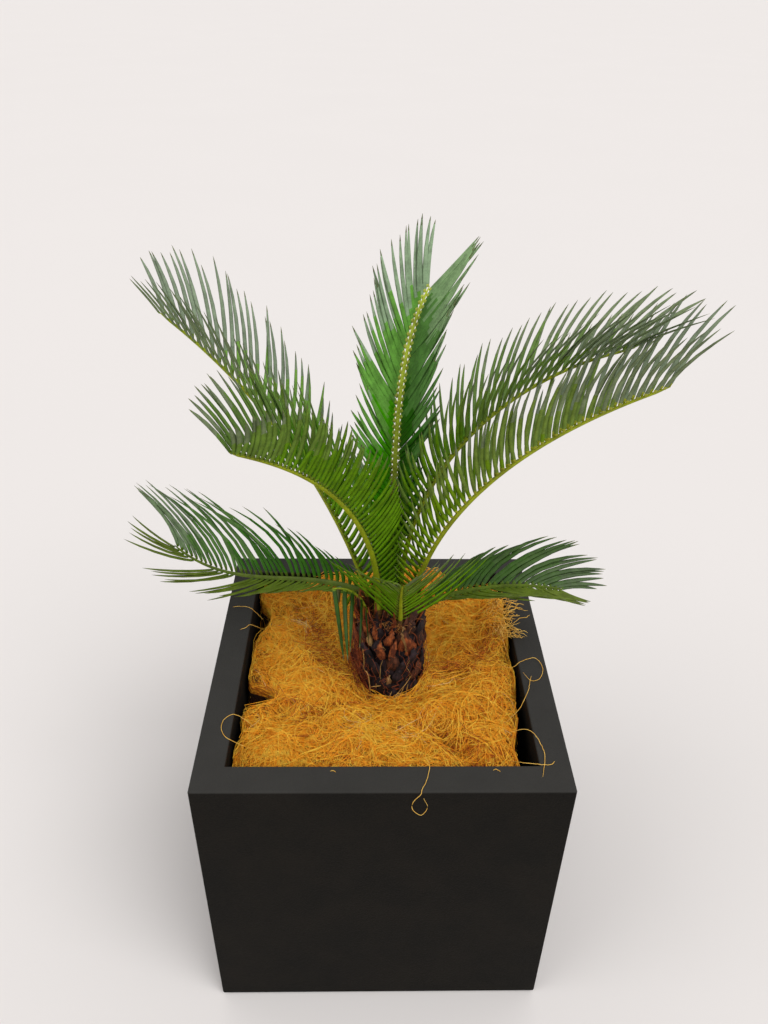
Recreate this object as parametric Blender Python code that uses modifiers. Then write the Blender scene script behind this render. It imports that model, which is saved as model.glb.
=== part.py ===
"""Potted sago palm: a square pot with its filling, the stem and the fronds.

Metres, +Z up. The origin is the middle of the flat underside of the pot. +X is
the right-hand side and -Y the front. Each frond is a thin blade, cut to its rib
between the leaflets, that stands on the crown of the stem.
"""

import math
from dataclasses import dataclass

import bmesh
import bpy
from mathutils import Vector, noise
from mathutils.bvhtree import BVHTree

# Clearance between neighbouring solids
GAP = 0.0003

# Pot: a cube of fibre clay with a wide flat rim
POT_SIDE = 0.340
POT_HEIGHT = 0.340
POT_WALL = 0.0285
POT_FLOOR = 0.030
POT_FOOT_ROUND = 0.005
POT_EDGE_CHAMFER = 0.0012

# Filling: potting soil below, a pad of loose coconut fibre above
SOIL_TOP = 0.270
FIBRE_HEIGHT = 0.318
FIBRE_CROWN = 0.0054
FIBRE_CROWN_POWER = 6
FIBRE_LUMP = 0.0072
FIBRE_LUMP_SIZE = 0.045
FIBRE_CELLS = 20
FIBRE_PULL = 0.007
FIBRE_PULL_SIZE = 0.050
FIBRE_PULL_POWER = 8
FIBRE_SEAT_RADIUS = 0.057
FIBRE_SEAT_SLOPE = 0.026

# Stem, with relief for its rows of leaf bases
STEM_AXIS = Vector((0.009, 0.0, 0.0))
STEM_FOOT = 0.310
STEM_TOP = 0.405
STEM_FOOT_RADIUS = 0.0345
STEM_WIDEST_RADIUS = 0.0368
STEM_TOP_RADIUS = 0.0300
STEM_WIDEST_AT = 0.35
STEM_SIDES = 30
STEM_RINGS = 12
SCALE_RELIEF = 0.0016
SCALE_ROWS = 5
SCALE_COLUMNS = 5

# Ribs: a pair of values holds for foot and tip
RIB_STEPS = 48
RIB_WIDTH = (0.0062, 0.0022)
RIB_DEPTH = (0.0050, 0.0018)
RIB_GROOVE = 0.35
STALK_ROWS = (0.0, 0.35, 0.70)

# Leaflets
LEAF_SPACING = 0.0108
LEAF_WIDTH = 0.0066
LEAF_FOOT = 0.0046
LEAF_DEPTH = 0.0011
LEAF_WIDEST_AT = 0.45
LEAF_CROWDING = 0.72
LEAF_TIP_POWER = 2.6
LEAF_CLEARANCE = 0.0022
LEAF_PROBE = 0.003
LEAF_REACHES = (1.0, 0.8, 0.62, 0.46, 0.32)


@dataclass
class Frond:
    """One frond: lengths in metres, angles in degrees, pairs run from foot to tip."""

    name: str
    heading: float
    rise: tuple
    length: float
    leaf: float
    foot_radius: float = 0.018
    foot_heading: float = None
    sway: float = 0.0
    sway_power: float = 1.5
    roll: float = 0.0
    fold: tuple = (60.0, 50.0)
    splay: tuple = (51.0, 32.0)
    bare: float = 0.14
    share: tuple = (0.45, 0.50)
    longest: float = 0.40
    curl: float = 0.12
    droop: float = 0.05
    left: float = 1.0
    right: float = 1.0
    spacing: float = LEAF_SPACING
    stout: float = 1.0


FRONDS = (
    Frond("frond_back", 88, (86, 80, 62), 0.312, 0.093, sway=-27, sway_power=4.3,
          roll=-3, fold=(61, 50), splay=(46, 35), share=(0.45, 0.60), longest=0.50,
          left=0.92, right=0.92),
    Frond("frond_upper_left", 165, (74, 57, 36), 0.348, 0.087, sway=2.5,
          fold=(64, 50), splay=(50, 38), share=(0.42, 0.50), longest=0.72, left=0.88),
    Frond("frond_front_right", -20, (85, 53, 31), 0.352, 0.088, sway=-1,
          fold=(62, 56), splay=(50, 46), share=(0.42, 0.78), longest=0.60),
    Frond("frond_front_left", 225, (96, 52, 34), 0.346, 0.083, sway=16,
          fold=(60, 60), splay=(52, 42), share=(0.44, 0.50), longest=0.60, left=0.90),
    Frond("frond_upper_right", 3, (92, 60, 21), 0.366, 0.084, sway=-19,
          fold=(62, 52), splay=(50, 36), share=(0.42, 0.80), foot_radius=0.008,
          foot_heading=30, longest=0.60, left=0.80),
    Frond("frond_low_left", 160, (14, -13, 33), 0.236, 0.112, foot_radius=0.026,
          foot_heading=146, sway=-6, roll=-28, fold=(58, 48), splay=(58, 44), bare=0.25,
          share=(0.60, 0.60), curl=0.30, left=0.45, right=0.92),
    Frond("frond_low_right", -5, (30, 13, -10), 0.148, 0.078, foot_radius=0.024,
          roll=8, fold=(45, 22), splay=(42, 22), bare=0.16, share=(0.45, 0.40),
          curl=0.25, droop=0.10, left=0.94, right=0.63),
    Frond("frond_small_front", 262, (80, 66, 50), 0.075, 0.080, foot_radius=0.026,
          foot_heading=290, sway=6, fold=(30, 30), splay=(52, 30), bare=0.10,
          share=(1.00, 0.30), longest=0.10, curl=0.20, stout=0.7, left=1.15),
    Frond("frond_low_back", 100, (70, 30, 5), 0.150, 0.055, foot_radius=0.025,
          fold=(45, 35), splay=(50, 25), share=(0.50, 0.40), stout=0.8),
    Frond("frond_stunted", 195, (84, 52, -25), 0.060, 0.046, foot_radius=0.027,
          foot_heading=215, sway=-20, fold=(-20, -20), splay=(95, 80), bare=0.48,
          share=(0.90, 0.80), curl=-0.10, droop=0.80, spacing=0.0095, stout=0.6),
)


def clear_scene():
    """Remove every object that the file starts with."""
    for item in list(bpy.data.objects):
        bpy.data.objects.remove(item, do_unlink=True)


def new_collection(name):
    """A collection in the scene."""
    collection = bpy.data.collections.new(name)
    bpy.context.scene.collection.children.link(collection)
    return collection


def finish(name, colour, roughness):
    """A plain finish: base colour and roughness, not metallic."""
    material = bpy.data.materials.new(name)
    material.use_nodes = True
    shader = material.node_tree.nodes["Principled BSDF"]
    shader.inputs["Base Color"].default_value = (*colour, 1.0)
    shader.inputs["Roughness"].default_value = roughness
    shader.inputs["Metallic"].default_value = 0.0
    return material


def add_object(bm, name, material, collection):
    """Turn a bmesh into a named object with its material."""
    mesh = bpy.data.meshes.new(name)
    bm.to_mesh(mesh)
    bm.free()
    mesh.materials.append(material)
    item = bpy.data.objects.new(name, mesh)
    collection.objects.link(item)
    return item


def between(pair, share):
    """The value at a share of the way from the first of a pair to the second."""
    return pair[0] + (pair[1] - pair[0]) * share


def through(triple, share):
    """The parabola through three values given at foot, middle and tip."""
    foot, middle, tip = triple
    return (foot * (1 - share) * (1 - 2 * share) + middle * 4 * share * (1 - share)
            + tip * share * (2 * share - 1))


def build_pot(collection):
    """The pot: a block hollowed from above, round at the foot and crisp at the rim."""
    bm = bmesh.new()
    bmesh.ops.create_cube(bm, size=1.0)
    bmesh.ops.scale(bm, vec=(POT_SIDE, POT_SIDE, POT_HEIGHT), verts=bm.verts)
    bmesh.ops.translate(bm, vec=(0, 0, POT_HEIGHT / 2), verts=bm.verts)
    foot = [e for e in bm.edges if all(v.co.z < GAP for v in e.verts)]
    bmesh.ops.bevel(bm, geom=foot, offset=POT_FOOT_ROUND, offset_type="OFFSET",
                    segments=3, profile=0.5, affect="EDGES")
    top = [f for f in bm.faces if f.normal.z > 0.9]
    bmesh.ops.inset_region(bm, faces=top, thickness=POT_WALL, use_even_offset=True)
    well = bmesh.ops.extrude_face_region(bm, geom=top)
    bmesh.ops.delete(bm, geom=top, context="FACES_ONLY")
    floor = [v for v in well["geom"] if isinstance(v, bmesh.types.BMVert)]
    bmesh.ops.translate(bm, vec=(0, 0, POT_FLOOR - POT_HEIGHT), verts=floor)
    bmesh.ops.recalc_face_normals(bm, faces=bm.faces)
    rim = [e for e in bm.edges
           if all(v.co.z > POT_HEIGHT - GAP for v in e.verts) and e.calc_face_angle() > 1]
    bmesh.ops.bevel(bm, geom=rim, offset=POT_EDGE_CHAMFER, offset_type="OFFSET",
                    segments=1, profile=0.5, affect="EDGES")
    bmesh.ops.recalc_face_normals(bm, faces=bm.faces)
    return add_object(bm, "pot", finish("fibre_clay", (0.030, 0.031, 0.031), 0.85), collection)


def build_soil(collection):
    """The block of potting soil under the fibre."""
    side = POT_SIDE - 2 * (POT_WALL + GAP)
    height = SOIL_TOP - POT_FLOOR - GAP
    bm = bmesh.new()
    bmesh.ops.create_cube(bm, size=1.0)
    bmesh.ops.scale(bm, vec=(side, side, height), verts=bm.verts)
    bmesh.ops.translate(bm, vec=(0, 0, SOIL_TOP - height / 2), verts=bm.verts)
    return add_object(bm, "potting_soil", finish("soil", (0.045, 0.028, 0.016), 0.95), collection)


def fibre_height(x, y):
    """Height of the loose fibre: lumpy, lower at the walls, flat where the stem stands."""
    lump = noise.noise(Vector((x, y, 0)) / FIBRE_LUMP_SIZE)
    half = POT_SIDE / 2 - POT_WALL
    wall = max(abs(x), abs(y)) / half
    height = FIBRE_HEIGHT + FIBRE_LUMP * lump + FIBRE_CROWN * (1 - wall ** FIBRE_CROWN_POWER)
    reach = (Vector((x, y, 0)) - STEM_AXIS).length
    near = min(1.0, max(0.0, (reach - FIBRE_SEAT_RADIUS) / FIBRE_SEAT_SLOPE))
    near = near * near * (3 - 2 * near)
    return (STEM_FOOT - GAP) * (1 - near) + height * near


def build_fibre(collection):
    """The pad of coconut fibre, a thick slab with a lumpy top and a wavy edge."""
    half = POT_SIDE / 2 - POT_WALL - GAP
    bm = bmesh.new()
    bmesh.ops.create_grid(bm, x_segments=FIBRE_CELLS, y_segments=FIBRE_CELLS, size=half)
    for vert in bm.verts:
        x, y, _ = vert.co
        edge = max(abs(x), abs(y)) / half
        wave = 0.5 + noise.noise(Vector((x, y, POT_SIDE)) / FIBRE_PULL_SIZE)
        pull = FIBRE_PULL * min(1.0, max(0.0, wave)) * edge ** FIBRE_PULL_POWER
        shrink = 1 - pull / half
        vert.co = (x * shrink, y * shrink, fibre_height(x * shrink, y * shrink))
    rim = [e for e in bm.edges if e.is_boundary]
    skirt = bmesh.ops.extrude_edge_only(bm, edges=rim)
    for vert in skirt["geom"]:
        if isinstance(vert, bmesh.types.BMVert):
            vert.co.z = SOIL_TOP + GAP
    low = [e for e in bm.edges if e.is_boundary]
    bmesh.ops.contextual_create(bm, geom=low)
    bmesh.ops.recalc_face_normals(bm, faces=bm.faces)
    material = finish("coconut_fibre", (0.58, 0.27, 0.045), 0.9)
    return add_object(bm, "coconut_fibre", material, collection)


def stem_radius(share):
    """Radius of the stem without its scales, from foot to crown."""
    if share < STEM_WIDEST_AT:
        end, part = STEM_FOOT_RADIUS, share / STEM_WIDEST_AT
    else:
        end, part = STEM_TOP_RADIUS, (1 - share) / (1 - STEM_WIDEST_AT)
    return between((end, STEM_WIDEST_RADIUS), math.sin(math.pi / 2 * part))


def build_stem(collection):
    """The stem: a stout column with rows of leaf-base scales, flat at foot and crown."""
    bm = bmesh.new()
    bmesh.ops.create_cone(bm, cap_ends=True, segments=STEM_SIDES, radius1=1.0, radius2=1.0,
                          depth=1.0)
    upright = [e for e in bm.edges if abs(e.verts[0].co.z - e.verts[1].co.z) > 0.5]
    bmesh.ops.subdivide_edges(bm, edges=upright, cuts=STEM_RINGS - 1, use_grid_fill=True)
    for vert in bm.verts:
        share = vert.co.z + 0.5
        angle = math.atan2(vert.co.y, vert.co.x)
        row = share * SCALE_ROWS * math.pi
        relief = math.cos(row) * math.cos(angle * SCALE_COLUMNS)
        radius = stem_radius(share) + SCALE_RELIEF * relief * math.sin(math.pi * share)
        vert.co = (STEM_AXIS.x + radius * math.cos(angle), STEM_AXIS.y + radius * math.sin(angle),
                   between((STEM_FOOT, STEM_TOP), share))
    bmesh.ops.recalc_face_normals(bm, faces=bm.faces)
    return add_object(bm, "stem", finish("stem_scales", (0.060, 0.028, 0.014), 0.85), collection)


def rib_frames(frond):
    """Points, directions, left sides and upper normals along the rib of a frond."""
    heading = math.radians(frond.heading)
    start = math.radians(frond.heading if frond.foot_heading is None else frond.foot_heading)
    point = STEM_AXIS + Vector((math.cos(start), math.sin(start), 0)) * frond.foot_radius
    point.z = STEM_TOP
    frames = []
    step = frond.length / RIB_STEPS
    ahead = None
    for index in range(RIB_STEPS + 1):
        share = index / RIB_STEPS
        rise = math.radians(through(frond.rise, share))
        flat = math.cos(rise)
        along = Vector((flat * math.cos(heading), flat * math.sin(heading), math.sin(rise)))
        left = Vector((-math.sin(heading), math.cos(heading), 0))
        up = along.cross(left)
        sway = math.radians(frond.sway * share ** frond.sway_power)
        along, left = (along * math.cos(sway) + left * math.sin(sway),
                       left * math.cos(sway) - along * math.sin(sway))
        roll = math.radians(frond.roll)
        left, up = (left * math.cos(roll) + up * math.sin(roll),
                    up * math.cos(roll) - left * math.sin(roll))
        if ahead is not None:
            point = point + (ahead + along) * (step / 2)
        frames.append((point, along, left, up))
        ahead = along
    return frames


def frame_at(frames, share):
    """The frame of a rib at a share of its length."""
    place = min(max(share, 0.0), 1.0) * (len(frames) - 1)
    index = min(int(place), len(frames) - 2)
    rest = place - index
    return tuple(a.lerp(b, rest) for a, b in zip(frames[index], frames[index + 1]))


def leaf_share(frond, place):
    """Length of a leaflet as a share of the longest, by its place along the row."""
    first, last = frond.share
    if place < frond.longest:
        return first + (1 - first) * math.sin(math.pi / 2 * place / frond.longest)
    return 1 - (1 - last) * ((place - frond.longest) / (1 - frond.longest)) ** LEAF_TIP_POWER


def leaf_line(frond, frames, place, side, reach):
    """A leaflet's foot, middle and tip, and the direction of its width."""
    share = frond.bare + (1 - frond.bare) * place
    foot, along, left, up = frame_at(frames, share)
    splay = math.radians(between(frond.splay, place))
    fold = math.radians(between(frond.fold, place))
    out = left * (side * math.cos(fold)) + up * math.sin(fold)
    aim = along * math.cos(splay) + out * math.sin(splay)
    length = frond.leaf * leaf_share(frond, place) * (frond.left if side > 0 else frond.right)
    foot = foot + left * (side * frond.stout * between(RIB_WIDTH, share) / 2)

    def point(part):
        run = length * part
        bend = length * part * part
        return foot + aim * run + along * (bend * frond.curl) - Vector((0, 0, bend * frond.droop))

    width = (along - aim * along.dot(aim)).normalized()
    return point(0), point(LEAF_WIDEST_AT * reach), point(reach), width, math.sin(splay)


def touches(line, obstacles):
    """True where a leaflet comes too close to a solid that stands already."""
    foot, middle, tip, width, _ = line
    half = width * (LEAF_WIDTH / 2)
    for start, end in ((foot, middle), (middle, tip)):
        steps = max(2, int((end - start).length / LEAF_PROBE))
        for index in range(steps + 1):
            spot = start.lerp(end, index / steps)
            for shift in (-1, 0, 1):
                for tree in obstacles:
                    if tree.find_nearest(spot + half * shift, LEAF_CLEARANCE)[0] is not None:
                        return True
    return False


def rib_rows(frond):
    """Shares of the length at which the rib has a row of points, two for each leaflet pair."""
    leafy = frond.length * (1 - frond.bare)
    pairs = max(3, round(leafy / frond.spacing))
    half = LEAF_FOOT / 2 / frond.length
    rows = [frond.bare * row for row in STALK_ROWS]
    places = [(index + 0.5) / pairs for index in range(pairs)]
    for place in places:
        middle = frond.bare + (1 - frond.bare) * place
        rows += [middle - half, middle + half]
    return rows, places


def grow_leaf(bm, edge, line, spacing):
    """Extrude a leaflet from one edge of the rib: out to its widest place, then to its tip."""
    foot, middle, tip, width, openness = line
    half = min(LEAF_WIDTH, LEAF_CROWDING * spacing * openness) / 2
    for target in (middle, tip):
        grown = bmesh.ops.extrude_edge_only(bm, edges=[edge])["geom"]
        verts = [v for v in grown if isinstance(v, bmesh.types.BMVert)]
        edge = next(e for e in grown if isinstance(e, bmesh.types.BMEdge))
        verts.sort(key=lambda v: (v.co - foot).dot(width))
        for vert, sign in zip(verts, (-1, 1)):
            vert.co = target + width * (half * sign)
    bmesh.ops.pointmerge(bm, verts=verts, merge_co=tip)


def build_rib(frond, frames):
    """The rib as an open strip, three points wide, with a shallow groove along it."""
    rows, _ = rib_rows(frond)
    bm = bmesh.new()
    bmesh.ops.create_grid(bm, x_segments=2, y_segments=len(rows), size=1.0)
    verts = sorted(bm.verts, key=lambda v: (v.co.y, v.co.x))
    for index, share in enumerate(rows + [1.0]):
        point, along, left, up = frame_at(frames, share)
        half = frond.stout * between(RIB_WIDTH, share) / 2
        strip = verts[3 * index:3 * index + 3]
        for vert, side in zip(strip, (1, 0, -1)):
            vert.co = point + left * (half * side)
        strip[1].co -= up * (half * RIB_GROOVE)
    bmesh.ops.pointmerge(bm, verts=verts[-3:], merge_co=frames[-1][0])
    return bm, verts[:-3]


def thicken(item, frond, count):
    """Give the blade its depth: full along the rib, thin in the leaflets."""
    rows, _ = rib_rows(frond)
    group = item.vertex_groups.new(name="depth")
    group.add(range(len(item.data.vertices)), LEAF_DEPTH / RIB_DEPTH[0], "REPLACE")
    for index in range(count):
        depth = frond.stout * between(RIB_DEPTH, rows[index // 3])
        group.add([index], max(depth, LEAF_DEPTH) / RIB_DEPTH[0], "REPLACE")
    shell = item.modifiers.new("depth", "SOLIDIFY")
    shell.thickness = RIB_DEPTH[0]
    shell.offset = -1.0
    shell.vertex_group = group.name


def make_frond(bm, verts, frond, material, collection):
    """An object from a blade, the rib's points first, and the search tree of its faces."""
    for vert in bm.verts:
        vert.index = len(verts)
    for index, vert in enumerate(verts):
        vert.index = index
    bm.verts.sort()
    blade = add_object(bm, frond.name, material, collection)
    thicken(blade, frond, len(verts))
    bpy.context.view_layer.update()
    return blade, BVHTree.FromObject(blade, bpy.context.evaluated_depsgraph_get())


def seated_rib(frond, material, collection):
    """Frames of a rib whose foot just clears the crown of the stem, and its search tree."""
    frames = rib_frames(frond)
    trial, _ = make_frond(*build_rib(frond, frames), frond, material, collection)
    shape = trial.evaluated_get(bpy.context.evaluated_depsgraph_get()).to_mesh()
    back = len(trial.data.vertices)
    lowest = min(shape.vertices[i + side].co.z for i in range(3) for side in (0, back))
    bpy.data.objects.remove(trial)
    lift = Vector((0, 0, STEM_TOP + GAP - lowest))
    frames = [(point + lift, *axes) for point, *axes in frames]
    trial, tree = make_frond(*build_rib(frond, frames), frond, material, collection)
    bpy.data.objects.remove(trial)
    return frames, tree


def grow_row(bm, verts, frond, frames, side, obstacles):
    """One row of leaflets, each as long as what stands in its way allows."""
    _, places = rib_rows(frond)
    column = 0 if side > 0 else 2
    for number, place in enumerate(places):
        row = len(STALK_ROWS) + 2 * number
        edge = bm.edges.get((verts[3 * row + column], verts[3 * row + 3 + column]))
        for reach in LEAF_REACHES:
            leaf = leaf_line(frond, frames, place, side, reach)
            if not touches(leaf, obstacles):
                grow_leaf(bm, edge, leaf, frond.spacing)
                break


def build_fronds(collection, solids):
    """All fronds: the ribs first, then the leaflets in the order of the list."""
    green = finish("frond_green", (0.040, 0.150, 0.020), 0.45)
    seats = {frond.name: seated_rib(frond, green, collection) for frond in FRONDS}
    for frond in FRONDS:
        frames, _ = seats.pop(frond.name)
        obstacles = solids + [tree for _, tree in seats.values()]
        bm, verts = build_rib(frond, frames)
        for side in (1, -1):
            grow_row(bm, verts, frond, frames, side, obstacles)
        _, tree = make_frond(bm, verts, frond, green, collection)
        solids.append(tree)


def main():
    """Build the whole plant in one collection."""
    clear_scene()
    collection = new_collection("sago_palm")
    build_soil(collection)
    bodies = [build_pot(collection), build_fibre(collection), build_stem(collection)]
    bpy.context.view_layer.update()
    depsgraph = bpy.context.evaluated_depsgraph_get()
    build_fronds(collection, [BVHTree.FromObject(body, depsgraph) for body in bodies])


main()
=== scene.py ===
"""Looks of the potted sago palm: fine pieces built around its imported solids.

Metres, +Z up, origin at the middle of the pot's flat underside, +X to the right
and -Y to the front. The pot, its filling, the stem and every frond get a finer
piece in the place of their solid. A frond grows by the rule of its solid, carried
on to its real number of leaflets. Every piece rides on the one body of the plant.
"""

import logging
import math
from dataclasses import dataclass, field
from enum import Enum
from typing import Callable, Sequence

import bmesh
import bpy
import numpy as np
from mathutils import Matrix, Vector, noise
from mathutils.bvhtree import BVHTree


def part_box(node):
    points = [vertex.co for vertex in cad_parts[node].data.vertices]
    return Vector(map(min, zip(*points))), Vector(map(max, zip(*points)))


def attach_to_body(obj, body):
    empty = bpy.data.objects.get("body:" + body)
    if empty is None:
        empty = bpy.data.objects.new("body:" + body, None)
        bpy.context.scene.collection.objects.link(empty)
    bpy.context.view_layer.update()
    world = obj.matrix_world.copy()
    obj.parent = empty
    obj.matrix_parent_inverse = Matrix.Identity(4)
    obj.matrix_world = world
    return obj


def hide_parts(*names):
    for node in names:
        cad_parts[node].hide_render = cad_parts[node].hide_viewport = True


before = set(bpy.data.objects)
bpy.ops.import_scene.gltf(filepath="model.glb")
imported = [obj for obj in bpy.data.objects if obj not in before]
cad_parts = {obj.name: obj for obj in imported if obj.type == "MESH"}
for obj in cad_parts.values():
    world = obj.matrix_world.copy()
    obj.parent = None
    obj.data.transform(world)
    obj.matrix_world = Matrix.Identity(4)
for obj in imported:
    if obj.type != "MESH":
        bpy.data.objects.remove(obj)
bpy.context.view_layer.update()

LOG = logging.getLogger("sago_palm")
BODY = "root"

# Heights and sizes that several pieces share
GAP = 0.0003
POT_SIDE = 0.340
POT_WALL = 0.0285
POT_HALF = POT_SIDE / 2 - POT_WALL
SOIL_TOP = 0.270
STEM_AXIS = np.array((0.009, 0.0))
STEM_FOOT = 0.310
STEM_TOP = 0.405
GOLDEN_ANGLE = math.radians(137.508)
UP = np.array((0.0, 0.0, 1.0))

# Steps of tone along a leaflet and a frond, and how thin a strand is at its ends
LEVELS = 3
END_TAPER = 0.45

Pair = tuple[float, float]
Triple = tuple[float, float, float]
Colour = Triple


def between(pair: Pair, share: float | np.ndarray) -> float | np.ndarray:
    """The value at a share of the way from the first of a pair to the second."""
    return pair[0] + (pair[1] - pair[0]) * share


def unit(rows: np.ndarray) -> np.ndarray:
    """The rows of an array, each brought to length one."""
    return rows / np.maximum(np.linalg.norm(rows, axis=-1, keepdims=True), 1e-12)


def squared(rows: np.ndarray, aims: np.ndarray) -> np.ndarray:
    """Directions of length one, each turned to stand square on its aim."""
    return unit(rows - aims * (rows * aims).sum(1)[:, None])


def distances(flat: np.ndarray, spot: Sequence[float]) -> np.ndarray:
    """Distance of each row of an array from one spot."""
    return np.linalg.norm(flat - np.array(spot), axis=1)


def turned(first: np.ndarray | Vector, second: np.ndarray | Vector,
           angle: float | np.ndarray) -> tuple:
    """Two directions at right angles, turned in their plane from the first to the second."""
    return (first * np.cos(angle) + second * np.sin(angle),
            second * np.cos(angle) - first * np.sin(angle))


def around(away: float | np.ndarray, angle: np.ndarray, height: np.ndarray) -> np.ndarray:
    """Points around the stem's axis at some distances, angles and heights."""
    return np.stack((STEM_AXIS[0] + away * np.cos(angle), STEM_AXIS[1] + away * np.sin(angle),
                     height), axis=-1)


def number_of(member: Enum) -> int:
    """Place of a member in its Enum, which is also the number of its material."""
    return list(type(member)).index(member)


def light(colour: Colour) -> tuple[float, float, float, float]:
    """A colour of 0 to 255 as the shares of light that a shader works with."""
    shares = [c / 255 for c in colour]
    linear = [s / 12.92 if s <= 0.04045 else ((s + 0.055) / 1.055) ** 2.4 for s in shares]
    return (*linear, 1.0)


def ripple(points: np.ndarray, size: float, shift: float = 0.0) -> np.ndarray:
    """Smooth noise, about -0.5 to 0.5, at each row of an array.

    Args:
        points: Rows of two or three coordinates.
        size: Distance over which the noise changes.
        shift: Third coordinate of points that have two, to get another pattern.

    Returns:
        One number for each row.
    """
    flat = points.reshape(-1, points.shape[-1])
    if flat.shape[1] == 2:
        flat = np.column_stack((flat, np.full(len(flat), shift)))
    values = [noise.noise(Vector(row) / size) for row in flat]
    return np.array(values).reshape(points.shape[:-1])


def through_points(knots: np.ndarray, count: int) -> np.ndarray:
    """Points on the smooth line through some knots.

    Args:
        knots: Rows of coordinates that the line passes through.
        count: Number of points wanted.

    Returns:
        Rows of coordinates, the first and last knot included.
    """
    padded = np.vstack((2 * knots[0] - knots[1], knots, 2 * knots[-1] - knots[-2]))
    place = np.linspace(0, len(knots) - 1, count)
    index = np.minimum(place.astype(int), len(knots) - 2)
    t = (place - index)[:, None]
    a, b, c, d = (padded[index + i] for i in range(4))
    return 0.5 * (2 * b + (c - a) * t + (2 * a - 5 * b + 4 * c - d) * t ** 2
                  + (3 * b - a - 3 * c + d) * t ** 3)


class Value:
    """A number that changes over a surface, with operators that add Math nodes."""

    def __init__(self, shader: "Shader", socket: bpy.types.NodeSocket) -> None:
        """Wrap a socket of a shader's node."""
        self.shader = shader
        self.socket = socket

    def math(self, operation: str, *numbers: "Value | float") -> "Value":
        """The outcome of a Math node on some numbers."""
        settings = {"operation": operation}
        return self.shader.node("ShaderNodeMath", settings, dict(enumerate(numbers)))

    def __add__(self, other: "Value | float") -> "Value":
        """This number and another, added."""
        return self.math("ADD", self, other)

    __radd__ = __add__

    def __rsub__(self, other: float) -> "Value":
        """Another number less this one."""
        return self.math("SUBTRACT", other, self)

    def __mul__(self, other: "Value | float") -> "Value":
        """This number times another."""
        return self.math("MULTIPLY", self, other)

    __rmul__ = __mul__

    def ramp(self, low: float, high: float) -> "Value":
        """0 where the number is at or under low, 1 at or over high, smooth between."""
        settings = {"interpolation_type": "SMOOTHSTEP"}
        return self.shader.node("ShaderNodeMapRange", settings, {0: self, 1: low, 2: high})


class Shader:
    """The nodes of one material around its principled shader."""

    def __init__(self, name: str) -> None:
        """Start a material with the given name."""
        self.material = bpy.data.materials.new(name)
        self.material.use_nodes = True
        self.tree = self.material.node_tree
        self.surface = self.tree.nodes["Principled BSDF"]
        self.place = self.node("ShaderNodeTexCoord", {}, {}, "Object")

    def node(self, kind: str, settings: dict, inputs: dict, output: int | str = 0) -> Value:
        """Add a node, set it up and give one of its outputs.

        Args:
            kind: Type of the node.
            settings: Properties, set before the sockets.
            inputs: Value or link of each socket, by number or name.
            output: Number or name of the output wanted.

        Returns:
            The output, wrapped.
        """
        made = self.tree.nodes.new(kind)
        for key, value in settings.items():
            setattr(made, key, value)
        for key, value in inputs.items():
            self.feed(made.inputs[key], value)
        return Value(self, made.outputs[output])

    def feed(self, socket: bpy.types.NodeSocket, value: object) -> None:
        """Link a wrapped output to a socket, or set the socket's own value."""
        if isinstance(value, Value):
            self.tree.links.new(value.socket, socket)
        else:
            socket.default_value = value

    def grain(self, size: float, detail: float = 2.0, roughness: float = 0.5,
              place: Value | None = None) -> Value:
        """Noise over the surface, 0 to 1, whose blotches are about size wide."""
        inputs = {"Vector": place or self.place, "Scale": 1 / size, "Detail": detail,
                  "Roughness": roughness}
        return self.node("ShaderNodeTexNoise", {}, inputs)

    def stretched(self, factors: Triple) -> Value:
        """The surface's coordinates times a factor for each axis."""
        return self.node("ShaderNodeMapping", {"vector_type": "POINT"},
                         {"Vector": self.place, "Scale": factors})

    def mixed(self, share: Value | float, first: Value | Colour, second: Colour) -> Value:
        """A colour a share of the way from a first colour to a second.

        Args:
            share: The share, one number or one that changes over the surface.
            first: First colour, from 0 to 255, or one that changes over the surface.
            second: Second colour, from 0 to 255.

        Returns:
            The colour over the surface.
        """
        start = first if isinstance(first, Value) else light(first)
        inputs = {0: share, 6: start, 7: light(second)}
        return self.node("ShaderNodeMix", {"data_type": "RGBA"}, inputs, 2)

    def dress(self, colour: Value, roughness: Value | float, gloss: float,
              height: Value | None = None, depth: float = 0.0) -> bpy.types.Material:
        """Join colour, roughness and relief to the principled shader.

        Args:
            colour: Base colour over the surface.
            roughness: Roughness, one number or one that changes over the surface.
            gloss: Strength of the plain reflection.
            height: Relief, 0 to 1, or nothing.
            depth: Depth of the relief.

        Returns:
            The finished material.
        """
        self.feed(self.surface.inputs["Base Color"], colour)
        self.feed(self.surface.inputs["Roughness"], roughness)
        self.surface.inputs["Specular IOR Level"].default_value = gloss
        if height is not None:
            relief = self.node("ShaderNodeBump", {}, {"Height": height, "Distance": depth})
            self.feed(self.surface.inputs["Normal"], relief)
        return self.material


@dataclass(frozen=True)
class ClayFinish:
    """Cast fibre clay: dark, matt and sandy, with painted light and sheen on the rim's top."""

    name: str = "fibre_clay"
    dark: Colour = (12, 10, 6)
    pale: Colour = (21, 17, 11)
    # Paler colour of the rim's top: painted light and sheen where the flat top faces the lamps.
    dust: Colour = (58, 57, 55)
    # Heights over which the painted light on the rim's top fades in.
    rim: Pair = (0.3375, 0.3398)
    grain: float = 0.0016
    blotch: float = 0.045
    edges: Pair = (0.35, 0.65)
    gloss: float = 0.16
    relief: float = 0.0006

    def make(self) -> bpy.types.Material:
        """The material."""
        shader = Shader(self.name)
        sand = shader.grain(self.grain, detail=3.0, roughness=0.6)
        blotch = shader.grain(self.blotch, detail=4.0, roughness=0.6)
        height = shader.node("ShaderNodeSeparateXYZ", {}, {0: shader.place}, 2)
        # Mask of the rim's top, which takes the painted light and sheen.
        top = height.ramp(*self.rim)
        body = shader.mixed((sand * 0.5 + blotch * 0.5).ramp(*self.edges), self.dark, self.pale)
        rim_with_painted_light = shader.mixed(top * (0.7 + 0.3 * blotch), body, self.dust)
        return shader.dress(rim_with_painted_light, 0.92 - 0.12 * sand, self.gloss, sand, self.relief)


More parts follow.
